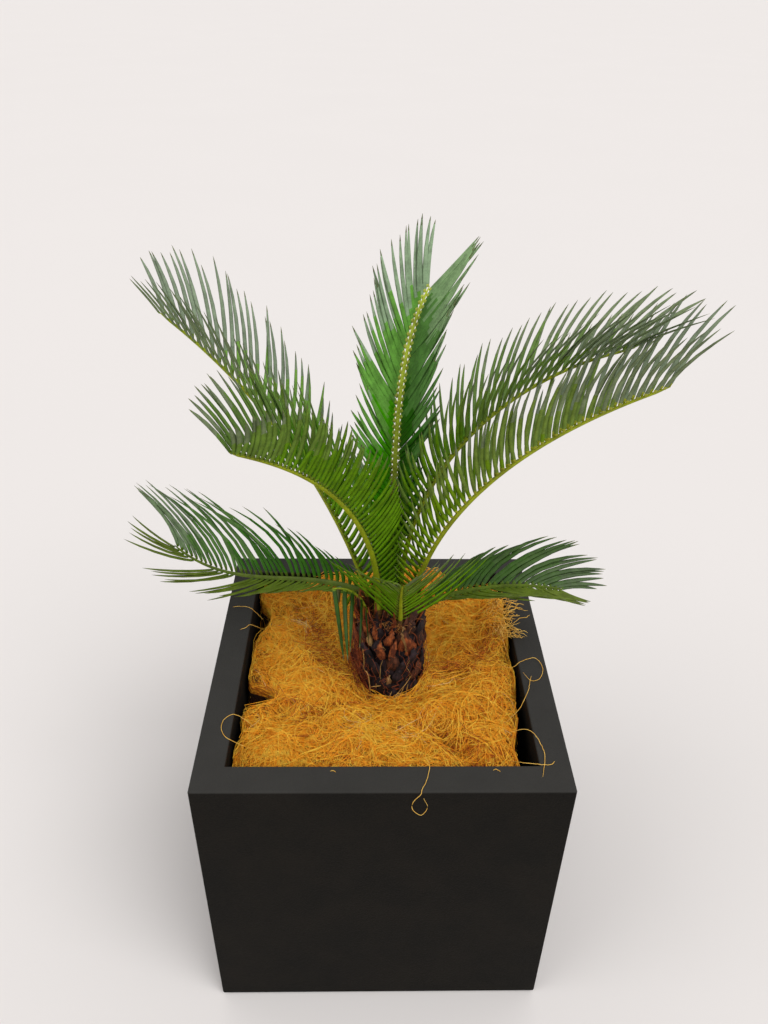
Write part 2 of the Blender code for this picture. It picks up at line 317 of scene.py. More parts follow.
@dataclass(frozen=True)
class CrumbFinish:
    """Potting soil: dark crumbs with a few lighter bits."""

    name: str = "soil"
    dark: Colour = (24, 17, 12)
    pale: Colour = (70, 50, 34)
    crumb: float = 0.004
    edges: Pair = (0.5, 0.75)
    rough: float = 0.95
    gloss: float = 0.2
    relief: float = 0.003

    def make(self) -> bpy.types.Material:
        """The material."""
        shader = Shader(self.name)
        crumb = shader.grain(self.crumb, detail=4.0, roughness=0.7)
        colour = shader.mixed(crumb.ramp(*self.edges), self.dark, self.pale)
        return shader.dress(colour, self.rough, self.gloss, crumb, self.relief)


@dataclass(frozen=True)
class StrandFinish:
    """Coconut fibre, or hair and roots like it: a dull sheen and two near tones."""

    name: str
    dark: Colour
    pale: Colour
    patch: float = 0.006
    rough: float = 0.62
    edges: Pair = (0.3, 0.7)
    gloss: float = 0.3
    relief: float = 0.0003

    def make(self) -> bpy.types.Material:
        """The material."""
        shader = Shader(self.name)
        patch = shader.grain(self.patch)
        colour = shader.mixed(patch.ramp(*self.edges), self.dark, self.pale)
        fine = shader.grain(self.patch / 6)
        return shader.dress(colour, self.rough, self.gloss, fine, self.relief)


@dataclass(frozen=True)
class BarkFinish:
    """Dry leaf bases: ragged lengthwise streaks on a dark ground."""

    name: str
    dark: Colour
    pale: Colour
    streak: float = 0.0035
    stretch: Triple = (1.0, 1.0, 0.28)
    edges: Pair = (0.42, 0.66)
    gloss: float = 0.3
    relief: float = 0.0016

    def make(self) -> bpy.types.Material:
        """The material."""
        shader = Shader(self.name)
        lengthwise = shader.stretched(self.stretch)
        streak = shader.grain(self.streak, detail=4.0, roughness=0.7, place=lengthwise)
        patch = shader.grain(self.streak * 4, detail=3.0, roughness=0.6)
        mask = (0.6 * streak + 0.4 * patch).ramp(*self.edges)
        colour = shader.mixed(mask, self.dark, self.pale)
        return shader.dress(colour, 0.9 - 0.25 * streak, self.gloss, streak, self.relief)


@dataclass(frozen=True)
class LeafFinish:
    """Leathery leaflet: a waxy green that is a little uneven."""

    name: str
    colour: Colour
    rough: float = 0.40
    gloss: float = 0.22
    spread: float = 0.14
    patch: float = 0.012
    grain: float = 0.0016
    edges: Pair = (0.3, 0.7)
    relief: float = 0.0002

    def make(self) -> bpy.types.Material:
        """The material."""
        shader = Shader(self.name)
        patch = shader.grain(self.patch, detail=3.0, roughness=0.6)
        fine = shader.grain(self.grain)
        deep = tuple(c * (1 - self.spread) for c in self.colour)
        high = tuple(min(255.0, c * (1 + self.spread)) for c in self.colour)
        mask = (0.7 * patch + 0.3 * fine).ramp(*self.edges)
        colour = shader.mixed(mask, deep, high)
        return shader.dress(colour, self.rough + 0.12 * patch, self.gloss, fine, self.relief)


@dataclass(frozen=True)
class FloorFinish:
    """Plain pale studio floor."""

    name: str = "studio_floor"
    dark: Colour = (228, 224, 222)
    pale: Colour = (230, 226, 224)
    cloud: float = 0.8
    rough: float = 0.9
    gloss: float = 0.1

    def make(self) -> bpy.types.Material:
        """The material."""
        shader = Shader(self.name)
        colour = shader.mixed(shader.grain(self.cloud), self.dark, self.pale)
        return shader.dress(colour, self.rough, self.gloss)


class Green(Enum):
    """Upper sides of leaflets, as the tone near the crown and the tone at the far end."""

    BRIGHT = ((74, 164, 4), (148, 172, 138))
    LEAFY = ((50, 106, 20), (130, 160, 112))
    FRESH = ((98, 166, 16), (126, 142, 116))
    MID = ((88, 130, 36), (122, 138, 100))
    OLIVE = ((70, 116, 8), (108, 122, 88))
    GOLDEN = ((98, 134, 12), (114, 128, 102))
    DEEP = ((48, 102, 10), (106, 128, 92))
    SHADE = ((54, 86, 28), (72, 92, 54))
    MOSSY = ((82, 102, 14), (94, 110, 36))
    SUNNY = ((84, 112, 6), (104, 128, 26))
    DARK = ((32, 62, 6), (44, 76, 12))


class Under(Enum):
    """Undersides of leaflets, as the tone near the crown and the tone at the far end."""

    OLIVE = ((90, 132, 6), (106, 122, 84))
    PALE = ((98, 130, 10), (112, 126, 90))


class Foot(Enum):
    """A frond's rib, and the short foot by which each leaflet stands on it."""

    YELLOW = ((176, 190, 62), (208, 212, 104))
    STRAW = ((140, 150, 26), (156, 162, 42))
    GREEN = ((134, 146, 22), (104, 132, 28))
    DULL = ((84, 102, 26), (80, 106, 26))


class Brown(Enum):
    """Dry leaf bases of the stem and crown, as dark and pale tone."""

    BLACK = ((22, 15, 18), (58, 43, 47))
    UMBER = ((42, 22, 16), (108, 62, 40))
    RUST = ((92, 40, 16), (172, 88, 38))
    SCAR = ((112, 80, 44), (188, 148, 92))
    ORANGE = ((84, 38, 20), (196, 108, 54))


class Fibre(Enum):
    """Tones of the coconut fibre, as dark and pale tone; SHADE is painted shade for strands low
    in the notches.
    """

    GOLD = ((255, 180, 36), (255, 214, 76))
    AMBER = ((252, 160, 28), (255, 186, 48))
    RUST = ((160, 76, 18), (212, 118, 34))
    PALE = ((238, 194, 118), (252, 220, 150))
    # Painted shade for strands low in the notches.
    SHADE = ((52, 26, 12), (96, 48, 20))


def add_piece(mesh: bpy.types.Mesh | bmesh.types.BMesh, name: str,
              materials: Sequence[bpy.types.Material], slot: str, *nodes: str,
              smooth: bool = True) -> bpy.types.Object:
    """Put a mesh into the scene as a piece of the plant.

    Args:
        mesh: The finished mesh, or a bmesh that becomes one.
        name: Name of the piece.
        materials: Its materials, in the order of its faces' numbers.
        slot: Material slot of the record; not used.
        nodes: Solids that the piece stands for.
        smooth: Whether its faces are shaded smooth.

    Returns:
        The object.
    """
    if isinstance(mesh, bmesh.types.BMesh):
        shape = bpy.data.meshes.new(name)
        mesh.to_mesh(shape)
        mesh.free()
        mesh = shape
    mesh.name = name
    mesh.polygons.foreach_set("use_smooth", np.full(len(mesh.polygons), smooth))
    for material in materials:
        mesh.materials.append(material)
    piece = bpy.data.objects.new(name, mesh)
    bpy.context.scene.collection.objects.link(piece)
    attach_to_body(piece, BODY)
    if nodes:
        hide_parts(*nodes)
    mesh.calc_loop_triangles()
    LOG.info("%s: %d triangles", name, len(mesh.loop_triangles))
    return piece


def search_tree(piece: bpy.types.Object) -> BVHTree:
    """The search tree of a piece's faces, for distances to it."""
    mesh = piece.data
    verts = [v.co for v in mesh.vertices]
    return BVHTree.FromPolygons(verts, [tuple(p.vertices) for p in mesh.polygons])


def unit_tube(sides: int, rings: int) -> bmesh.types.BMesh:
    """A closed upright tube of radius and height one, cut into rings.

    Args:
        sides: Number of points around.
        rings: Number of bands between foot and top.

    Returns:
        The tube, its middle at the origin.
    """
    bm = bmesh.new()
    bmesh.ops.create_cone(bm, cap_ends=True, segments=sides, radius1=1.0, radius2=1.0,
                          depth=1.0)
    upright = [e for e in bm.edges if abs(e.verts[0].co.z - e.verts[1].co.z) > 0.5]
    bmesh.ops.subdivide_edges(bm, edges=upright, cuts=rings - 1, use_grid_fill=True)
    return bm


def shape_tube(bm: bmesh.types.BMesh, place: Callable[[float, float], Vector]) -> None:
    """Move every point of a unit tube to its place.

    Args:
        bm: The tube.
        place: Gives a point from its share of the height and its angle.
    """
    for vert in bm.verts:
        vert.co = place(vert.co.z + 0.5, math.atan2(vert.co.y, vert.co.x))
    bmesh.ops.recalc_face_normals(bm, faces=bm.faces)


def close_below(bm: bmesh.types.BMesh, height: float) -> None:
    """Draw the border of an open sheet straight down to a height and close it there."""
    border = [e for e in bm.edges if e.is_boundary]
    for item in bmesh.ops.extrude_edge_only(bm, edges=border)["geom"]:
        if isinstance(item, bmesh.types.BMVert):
            item.co.z = height
    bmesh.ops.contextual_create(bm, geom=[e for e in bm.edges if e.is_boundary])
    bmesh.ops.recalc_face_normals(bm, faces=bm.faces)


def loft(name: str, rings: np.ndarray, slots: np.ndarray | None = None) -> bpy.types.Mesh:
    """Many closed shapes joined in one mesh, each a row of rings with capped ends.

    Args:
        name: Name of the mesh.
        rings: Points by shape, ring, place on the ring, and coordinate.
        slots: Material number of each shape, or by shape, band and face, or nothing.

    Returns:
        The mesh.
    """
    shapes, rows, sides, _ = rings.shape
    spot = np.arange(shapes * rows * sides, dtype=np.int32).reshape(shapes, rows, sides)
    ahead = np.roll(spot, -1, axis=2)
    quads = np.stack((spot[:, :-1], ahead[:, :-1], ahead[:, 1:], spot[:, 1:]), axis=-1)
    quads = quads.reshape(shapes, -1)
    caps = np.concatenate((spot[:, 0, ::-1], spot[:, -1]), axis=1)
    loops = np.concatenate((quads, caps), axis=1)
    bands = (rows - 1) * sides
    starts = np.concatenate((np.arange(bands) * 4, bands * 4 + np.array((0, sides))))
    starts = starts[None, :] + np.arange(shapes)[:, None] * loops.shape[1]
    mesh = bpy.data.meshes.new(name)
    mesh.vertices.add(rings.size // 3)
    mesh.vertices.foreach_set("co", rings.astype(np.float32).ravel())
    mesh.loops.add(loops.size)
    mesh.loops.foreach_set("vertex_index", loops.astype(np.int32).ravel())
    mesh.polygons.add(starts.size)
    mesh.polygons.foreach_set("loop_start", starts.astype(np.int32).ravel())
    if slots is not None:
        faces = slots.reshape(shapes, -1)
        faces = np.repeat(faces, bands // faces.shape[1], axis=1)
        faces = np.concatenate((faces, faces[:, :1], faces[:, -1:]), axis=1)
        mesh.polygons.foreach_set("material_index", faces.astype(np.int32).ravel())
    mesh.update(calc_edges=True)
    mesh.validate()
    return mesh


def threads(paths: np.ndarray, radius: np.ndarray, sides: int = 3) -> np.ndarray:
    """Rings of thin tubes along some paths, thinner at both ends.

    Args:
        paths: Points by path and place, all paths with the same number.
        radius: Radius of each path.
        sides: Number of points around.

    Returns:
        Rings as loft takes them.
    """
    along = unit(np.gradient(paths, axis=1))
    side = unit(np.cross(along, UP + 1e-4))
    over = np.cross(side, along)
    turn = np.arange(sides) * 2 * math.pi / sides
    share = np.linspace(0, 1, paths.shape[1])
    taper = np.minimum(1.0, END_TAPER + 4 * np.minimum(share, 1 - share))
    size = (radius[:, None] * taper[None, :])[:, :, None, None]
    spokes = (side[:, :, None, :] * np.cos(turn)[:, None]
              + over[:, :, None, :] * np.sin(turn)[:, None])
    return paths[:, :, None, :] + spokes * size


@dataclass
class Pot:
    """A cube of fibre clay with a wide flat rim, soft at its edges."""

    side: float = POT_SIDE
    height: float = 0.340
    wall: float = POT_WALL
    floor: float = 0.030
    foot_round: float = 0.005
    foot_segments: int = 5
    edge_round: float = 0.0016
    edge_segments: int = 3

    def build(self, finish: ClayFinish) -> bpy.types.Object:
        """Make the pot in its finish."""
        bm = bmesh.new()
        bmesh.ops.create_cube(bm, size=1.0)
        bmesh.ops.scale(bm, vec=(self.side, self.side, self.height), verts=bm.verts)
        bmesh.ops.translate(bm, vec=(0, 0, self.height / 2), verts=bm.verts)
        foot = [e for e in bm.edges if all(v.co.z < GAP for v in e.verts)]
        self.soften(bm, foot, self.foot_round, self.foot_segments)
        top = [f for f in bm.faces if f.normal.z > 0.9]
        bmesh.ops.inset_region(bm, faces=top, thickness=self.wall, use_even_offset=True)
        well = bmesh.ops.extrude_face_region(bm, geom=top)
        bmesh.ops.delete(bm, geom=top, context="FACES_ONLY")
        floor = [v for v in well["geom"] if isinstance(v, bmesh.types.BMVert)]
        bmesh.ops.translate(bm, vec=(0, 0, self.floor - self.height), verts=floor)
        bmesh.ops.recalc_face_normals(bm, faces=bm.faces)
        crisp = [e for e in bm.edges if self.is_crisp(e)]
        self.soften(bm, crisp, self.edge_round, self.edge_segments)
        bmesh.ops.recalc_face_normals(bm, faces=bm.faces)
        return add_piece(bm, "pot_shell", [finish.make()], "fibre_clay", "pot", smooth=False)

    def is_crisp(self, edge: bmesh.types.BMEdge) -> bool:
        """True for the rim's edges and the four upright corners outside."""
        if all(v.co.z > self.height - GAP for v in edge.verts):
            return edge.calc_face_angle() > 1
        return all(abs(abs(v.co.x) - abs(v.co.y)) < GAP / 3 and abs(v.co.x) > POT_HALF + GAP
                   for v in edge.verts)

    @staticmethod
    def soften(bm: bmesh.types.BMesh, edges: list[bmesh.types.BMEdge], size: float,
               segments: int) -> None:
        """Round some edges over by a size, in a number of segments."""
        bmesh.ops.bevel(bm, geom=edges, offset=size, offset_type="OFFSET", segments=segments,
                        profile=0.5, affect="EDGES", material=-1)


@dataclass
class Soil:
    """The block of potting soil, crumbly on top."""

    cuts: int = 70
    lump: float = 0.0030
    lump_size: float = 0.014
    crumb_size: float = 0.005
    edge_power: int = 30

    def build(self, finish: CrumbFinish) -> bpy.types.Object:
        """Make the soil in its finish: a block whose top is cut fine and roughened."""
        low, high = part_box("potting_soil")
        bm = bmesh.new()
        bmesh.ops.create_grid(bm, x_segments=self.cuts, y_segments=self.cuts, size=high.x)
        for vert in bm.verts:
            rough = (noise.noise(vert.co / self.lump_size)
                     + 0.5 * noise.noise(vert.co / self.crumb_size))
            edge = max(abs(vert.co.x), abs(vert.co.y)) / high.x
            vert.co.z = high.z - self.lump * (0.6 + 0.6 * rough) * (1 - edge ** self.edge_power)
        close_below(bm, low.z)
        return add_piece(bm, "soil_block", [finish.make()], "soil", "potting_soil", smooth=False)


class Wall(Enum):
    """Walls of the pot, as the axis across and the sign of that wall."""

    LEFT = (0, -1)
    RIGHT = (0, 1)
    FRONT = (1, -1)
    BACK = (1, 1)


@dataclass(frozen=True)
class Notch:
    """A stretch where the fibre stands back from a wall of the pot."""

    wall: Wall
    centre: float
    half: float
    depth: float


@dataclass(frozen=True)
class Dent:
    """A dip or swelling of the fibre along a short line, swelling if depth is under 0."""

    start: Pair
    end: Pair
    width: float
    depth: float

    def share(self, flat: np.ndarray) -> np.ndarray:
        """Share of the depth at each point: 1 on the line, less and less beside it."""
        start, end = np.array(self.start), np.array(self.end)
        line = end - start
        along = np.clip((flat - start) @ line / (line @ line), 0, 1)
        away = np.linalg.norm(flat - start - along[:, None] * line, axis=1)
        return np.exp(-(away / self.width) ** 2)


NOTCHES = (
    Notch(Wall.LEFT, -0.040, 0.0150, 0.0310),
    Notch(Wall.LEFT, -0.090, 0.014, 0.0045),
    Notch(Wall.LEFT, 0.078, 0.024, 0.0140),
    Notch(Wall.RIGHT, -0.125, 0.042, 0.0085),
    Notch(Wall.RIGHT, -0.085, 0.050, 0.0040),
    Notch(Wall.BACK, -0.070, 0.040, 0.0060),
    Notch(Wall.FRONT, -0.057, 0.018, 0.0060),
)
# Dips (depth over 0) also turn more strands over them rusty, as painted shade.
DENTS = (
    Dent((-0.112, -0.046), (-0.060, -0.060), 0.009, 0.0050),
    Dent((0.050, -0.078), (0.090, -0.128), 0.009, 0.0135),
    Dent((-0.080, 0.085), (-0.052, 0.014), 0.015, 0.0030),
    Dent((-0.066, 0.012), (-0.058, 0.008), 0.006, 0.0090),
    Dent((-0.102, 0.106), (-0.088, 0.092), 0.005, 0.0060),
    Dent((-0.114, 0.086), (-0.111, 0.084), 0.004, 0.0050),
    Dent((0.070, 0.000), (0.120, 0.030), 0.012, 0.0040),
    Dent((-0.125, -0.084), (-0.100, -0.112), 0.018, -0.0055),
    Dent((-0.080, -0.100), (0.010, -0.095), 0.022, -0.0045),
    Dent((0.085, -0.070), (0.105, -0.020), 0.024, -0.0045),
    Dent((0.128, 0.040), (0.132, 0.085), 0.016, -0.0190),
    Dent((-0.056, 0.139), (0.064, 0.139), 0.024, -0.0245),
    Dent((0.038, 0.140), (0.062, 0.140), 0.016, -0.0070),
)
STEM_HEAPS = ((-0.033, -0.014), (0.050, -0.016), (0.012, 0.045))
PALE_TUFTS = ((-0.090, 0.070), (-0.021, -0.084), (0.029, -0.086))
LOOSE_ENDS = (
    ((0.036, -0.120, 0.330), (0.042, -0.140, 0.3408), (0.039, -0.156, 0.3406),
     (0.034, -0.168, 0.3412), (0.0325, -0.1715, 0.338), (0.0270, -0.1722, 0.331),
     (0.0255, -0.1724, 0.321), (0.0335, -0.1726, 0.3115), (0.0390, -0.1724, 0.3215),
     (0.0355, -0.1722, 0.334)),
    ((0.120, -0.095, 0.330), (0.133, -0.100, 0.341), (0.1417, -0.1067, 0.3425),
     (0.1473, -0.1233, 0.3415), (0.1471, -0.1348, 0.3412), (0.1418, -0.1547, 0.3406)),
    ((0.118, -0.128, 0.330), (0.1273, -0.1393, 0.3410), (0.1371, -0.1404, 0.3410),
     (0.1504, -0.1416, 0.3408), (0.1558, -0.1371, 0.3406)),
    ((0.122, -0.002, 0.330), (0.134, -0.016, 0.339), (0.1439, -0.0120, 0.3440),
     (0.1594, -0.0061, 0.3430), (0.1654, -0.0192, 0.3412), (0.1598, -0.0335, 0.3408),
     (0.1503, -0.0363, 0.3410), (0.1437, -0.0264, 0.3425)),
    ((0.152, -0.030, 0.3412), (0.1488, -0.0391, 0.3420), (0.1446, -0.0528, 0.3425),
     (0.1325, -0.0739, 0.339), (0.120, -0.080, 0.328)),
    ((-0.122, -0.086, 0.328), (-0.132, -0.084, 0.338), (-0.1419, -0.0826, 0.3425),
     (-0.1497, -0.0876, 0.3412), (-0.1511, -0.0975, 0.3407), (-0.1458, -0.1083, 0.3407),
     (-0.1341, -0.1131, 0.337), (-0.120, -0.112, 0.327)),
    ((-0.1512, 0.0398, 0.3407), (-0.1450, 0.0414, 0.3425), (-0.1402, 0.0463, 0.3420),
     (-0.128, 0.052, 0.330)),
    ((-0.1640, 0.0775, 0.3407), (-0.1559, 0.0763, 0.3425), (-0.1434, 0.0729, 0.3425),
     (-0.130, 0.068, 0.330)),
    ((0.0985, -0.1470, 0.3403), (0.1015, -0.1464, 0.3410), (0.1050, -0.1484, 0.3403)),
    ((-0.0470, -0.1478, 0.3403), (-0.0445, -0.1474, 0.3409), (-0.0420, -0.1486, 0.3403)),
)


@dataclass
class FibrePad:
    """The pad of coconut fibre: a lumpy mat under thousands of curly strands.

    Strands lie in locks: what starts with lock is shared, what starts with own is not.
    """

    height: float = 0.3205
    crown: float = 0.0020
    crown_power: float = 6.0
    lump: float = 0.0080
    lump_size: float = 0.045
    knot: float = 0.0070
    knot_size: float = 0.013
    seat_radius: float = 0.057
    seat_rise: float = 0.012
    seat_slope: float = 0.026
    seat_height: float = STEM_FOOT + 0.002
    heap_height: float = 0.0125
    heap_width: float = 0.015
    wall_gap: float = 0.0006
    wave: float = 0.0022
    wave_size: float = 0.021
    edge_power: float = 120.0
    cells: int = 120
    sink: float = 0.0022
    # Tones
    # Height under which mat faces and strands take painted shade.
    shade_below: float = 0.306
    # Depth in the mat under which strands get more rusty tone, as painted shade.
    low_layer: float = 0.0024
    patch_size: float = 0.030
    ring_radius: float = 0.040
    ring_width: float = 0.020
    gold_share: float = 0.62
    pale_share: float = 0.004
    tuft_share: float = 0.6
    tuft_radius: float = 0.010
    # Strands
    locks: int = 1900
    lock_strands: int = 5
    lock_turn: float = 1.1
    lock_bend: float = 26.0
    own_shift: float = 0.0026
    own_turn: float = 0.30
    own_bend: float = 12.0
    swirl: float = 7.0
    swirl_size: float = 0.060
    curl: float = 14.0
    margin: Pair = (0.0012, 0.0018)
    stem_clear: float = 0.0372
    arch: float = 0.0028
    high_arch: float = 0.0055
    high_above: float = 0.91
    layer: Pair = (-0.0004, 0.0012)
    jitter: float = 0.00045
    points: int = 11
    step: Pair = (0.0042, 0.0088)
    radius: Pair = (0.00020, 0.00034)
    batch: int = 3000
    # Tuft and single strands over the rim
    spray_count: int = 90
    spray_foot: tuple[Pair, Pair] = ((0.122, 0.136), (0.030, 0.095))
    spray_turn: Pair = (-0.1, 0.85)
    spray_reach: Pair = (0.010, 0.032)
    spray_top: Pair = (0.3412, 0.3475)
    spray_bend: float = 0.0011
    spray_low: float = 0.333
    spray_end: float = 0.164
    spray_radius: float = 0.00030
    loose_points: int = 34
    loose_radius: float = 0.00028
    loose_jitter: float = 0.00012
    seed: int = 11
    tree: BVHTree | None = field(default=None, repr=False)

    def edge(self, wall: Wall, places: np.ndarray) -> np.ndarray:
        """Distance of the fibre's outline from the pot's middle, by place along a wall."""
        away = np.full(places.shape, self.wall_gap)
        for notch in NOTCHES:
            if notch.wall is wall:
                away += notch.depth * np.exp(-((places - notch.centre) / notch.half) ** 4)
        shift = 3.1 * (wall.value[0] * 2 + wall.value[1])
        flat = np.column_stack((places.ravel(), np.full(places.size, shift)))
        wobble = ripple(flat, self.wave_size).reshape(places.shape)
        return POT_HALF - away - self.wave * np.clip(0.4 + wobble, 0, 1)

    def inside(self, x: np.ndarray, y: np.ndarray,
               margin: np.ndarray) -> tuple[np.ndarray, np.ndarray]:
        """Bring points inside the outline, with a margin for each."""
        x = np.clip(x, margin - self.edge(Wall.LEFT, y), self.edge(Wall.RIGHT, y) - margin)
        y = np.clip(y, margin - self.edge(Wall.FRONT, x), self.edge(Wall.BACK, x) - margin)
        return x, y

    def surface(self, x: np.ndarray, y: np.ndarray) -> np.ndarray:
        """Height of the mat away from its edge, with its lumps, knots and dents."""
        flat = np.column_stack((x, y))
        wall = np.maximum(abs(x), abs(y)) / POT_HALF
        top = self.height + self.lump * ripple(flat, self.lump_size)
        top += self.crown * (1 - wall ** self.crown_power)
        top += self.knot * ripple(flat, self.knot_size, 4.0)
        for dent in DENTS:
            top -= dent.depth * dent.share(flat)
        away = distances(flat, STEM_AXIS)
        near = np.clip((away - self.seat_radius + self.seat_rise) / self.seat_slope, 0, 1)
        near = near * near * (3 - 2 * near)
        heap = sum(np.exp(-(distances(flat, spot) / self.heap_width) ** 2) for spot in STEM_HEAPS)
        return between((self.seat_height, 0.0), near) + top * near + self.heap_height * heap

    def build_mat(self, finishes: Sequence[StrandFinish]) -> bpy.types.Object:
        """Make the mat: a fine grid fitted to the outline, rolled over at its edge.

        Args:
            finishes: Its finish on top and the painted shade for its low faces at its edge.

        Returns:
            The piece.
        """
        bm = bmesh.new()
        bmesh.ops.create_grid(bm, x_segments=self.cells, y_segments=self.cells, size=1.0)
        grid = np.array([v.co for v in bm.verts])
        u, v = (np.sin(grid[:, i] * math.pi / 2) * 0.55 + grid[:, i] * 0.45 for i in (0, 1))
        x, y = u * POT_HALF, v * POT_HALF
        left, right = -self.edge(Wall.LEFT, y), self.edge(Wall.RIGHT, y)
        front, back = -self.edge(Wall.FRONT, x), self.edge(Wall.BACK, x)
        x, y = between((left, right), (u + 1) / 2), between((front, back), (v + 1) / 2)
        border = np.maximum(abs(u), abs(v))
        round_off = np.sqrt(np.clip(1 - border ** self.edge_power, 0, 1))
        foot = SOIL_TOP + GAP
        z = foot + (self.surface(x, y) - self.sink - foot) * round_off
        for vert, *place in zip(bm.verts, x, y, z):
            vert.co = place
        close_below(bm, foot - GAP / 2)
        # Faces low at the edge, in the notches, take the painted shade.
        for face in bm.faces:
            face.material_index = int(face.calc_center_median().z < self.shade_below)
        materials = [finish.make() for finish in finishes]
        piece = add_piece(bm, "fibre_mat", materials, "coconut_fibre", "coconut_fibre")
        self.tree = search_tree(piece)
        return piece

    def drop(self, x: np.ndarray, y: np.ndarray) -> np.ndarray:
        """Height of the mat, or of the soil beside it, straight under some places."""
        down = Vector((0, 0, -1))
        hits = (self.tree.ray_cast(Vector((a, b, 0.5)), down)[0] for a, b in zip(x, y))
        return np.array([SOIL_TOP if hit is None else hit.z for hit in hits])

    def walk(self, rng: np.random.Generator) -> np.ndarray:
        """Paths of the strands: curling walks that follow the mat.

        Args:
            rng: Source of the random draws.

        Returns:
            Points by strand and place.
        """
        count = self.locks * self.lock_strands
        draws = (rng.uniform(-POT_HALF, POT_HALF, (2, self.locks)),
                 rng.normal(0, self.lock_turn, self.locks),
                 rng.normal(0, self.lock_bend, self.locks))
        place, turn, bend = (np.repeat(draw, self.lock_strands, axis=-1) for draw in draws)
        heading = ripple(place.T, self.swirl_size, 9.0) * self.swirl + turn
        x, y = place + rng.normal(0, self.own_shift, (2, count))
        heading += rng.normal(0, self.own_turn, count)
        bend += rng.normal(0, self.own_bend, count)
        stride = rng.uniform(*self.step, count)
        margin = rng.normal(*self.margin, count)
        flat = np.empty((count, self.points, 2))
        for index in range(self.points):
            x, y = self.inside(x, y, margin)
            away = np.column_stack((x, y)) - STEM_AXIS
            out = self.stem_clear / np.maximum(np.linalg.norm(away, axis=1), 1e-6)
            x, y = (away * np.maximum(1.0, out)[:, None] + STEM_AXIS).T
            flat[:, index] = np.column_stack((x, y))
            bend += rng.normal(0, self.curl, count)
            heading += bend * stride
            x, y = x + np.cos(heading) * stride, y + np.sin(heading) * stride
        ground = self.drop(flat[:, :, 0].ravel(), flat[:, :, 1].ravel()).reshape(count, -1)
        ground[:, 1:-1] = (ground[:, :-2] + 2 * ground[:, 1:-1] + ground[:, 2:]) / 4
        lift = abs(rng.normal(0, self.arch, count))
        lift += (rng.random(count) > self.high_above) * self.high_arch
        layer = rng.uniform(self.layer[0], self.sink + self.layer[1], count)
        z = ground + layer[:, None] + lift[:, None] * np.sin(np.linspace(0, math.pi, self.points))
        z += rng.normal(0, self.jitter, z.shape)
        return np.dstack((flat, z))

    def tones(self, paths: np.ndarray, rng: np.random.Generator) -> np.ndarray:
        """Number of the tone of each strand, by its place on the pad and its depth in it; extra
        rusty strands low in the mat and in the dips are painted shade.

        Args:
            paths: Paths of the strands.
            rng: Source of the random draws.

        Returns:
            One number for each strand, in the order of Fibre.
        """
        middle = paths[:, self.points // 2]
        flat, height = middle[:, :2], middle[:, 2]
        patch = ripple(flat, self.patch_size, 2.0)
        dip = sum(dent.share(flat) for dent in DENTS if dent.depth > 0)
        near = np.exp(-((distances(flat, STEM_AXIS) - self.ring_radius) / self.ring_width) ** 2)
        # Share of rusty strands: random patches and the ring near the stem, plus painted shade
        # low in the mat and in the dips.
        low = height - self.drop(*flat.T) < self.low_layer
        rust_and_shade = 0.24 * low + 0.20 * np.clip(patch, 0, 1) + 0.45 * dip + 0.15 * near
        tuft = np.min([distances(flat, spot) for spot in PALE_TUFTS], axis=0)
        pale = self.pale_share + self.tuft_share * (tuft < self.tuft_radius)
        gold = self.gold_share - 0.5 * patch
        draws = rng.random((3, len(paths)))
        tone = np.where(draws[1] < gold, number_of(Fibre.GOLD), number_of(Fibre.AMBER))
        tone = np.where(draws[0] < rust_and_shade, number_of(Fibre.RUST), tone)
        tone = np.where(draws[2] < pale, number_of(Fibre.PALE), tone)
        # Strands low in the notches take the painted shade.
        return np.where(height < self.shade_below, number_of(Fibre.SHADE), tone)

    def loose(self, rng: np.random.Generator) -> np.ndarray:
        """Paths of the single strands that stray over the rim."""
        paths = np.array([through_points(np.array(knots), self.loose_points)
                          for knots in LOOSE_ENDS])
        return paths + rng.normal(0, self.loose_jitter, paths.shape)

    def spray(self, rng: np.random.Generator) -> np.ndarray:
        """Paths of the tuft that lies over the right rim.

        Args:
            rng: Source of the random draws.

        Returns:
            Points by strand and place.
        """
        count = self.spray_count
        steps = np.linspace(0, 1, self.points)
        foot = np.column_stack([rng.uniform(*pair, count) for pair in self.spray_foot])
        turn = rng.normal(*self.spray_turn, count)
        reach = rng.uniform(*self.spray_reach, count)
        bend = np.cumsum(rng.normal(0, self.spray_bend, (count, self.points, 2)), axis=1)
        aim = np.column_stack((np.cos(turn), np.sin(turn))) * reach[:, None]
        flat = foot[:, None] + aim[:, None] * steps[:, None] + bend
        top = rng.uniform(*self.spray_top, count)
        rise = np.minimum(1, steps * rng.uniform(2.0, 3.5, count)[:, None])
        z = between((self.spray_low, 0.0), rise) + top[:, None] * rise
        flat[:, :, 0] = np.minimum(flat[:, :, 0], self.spray_end)
        return np.dstack((flat, z + rng.normal(0, 0.0003, z.shape)))

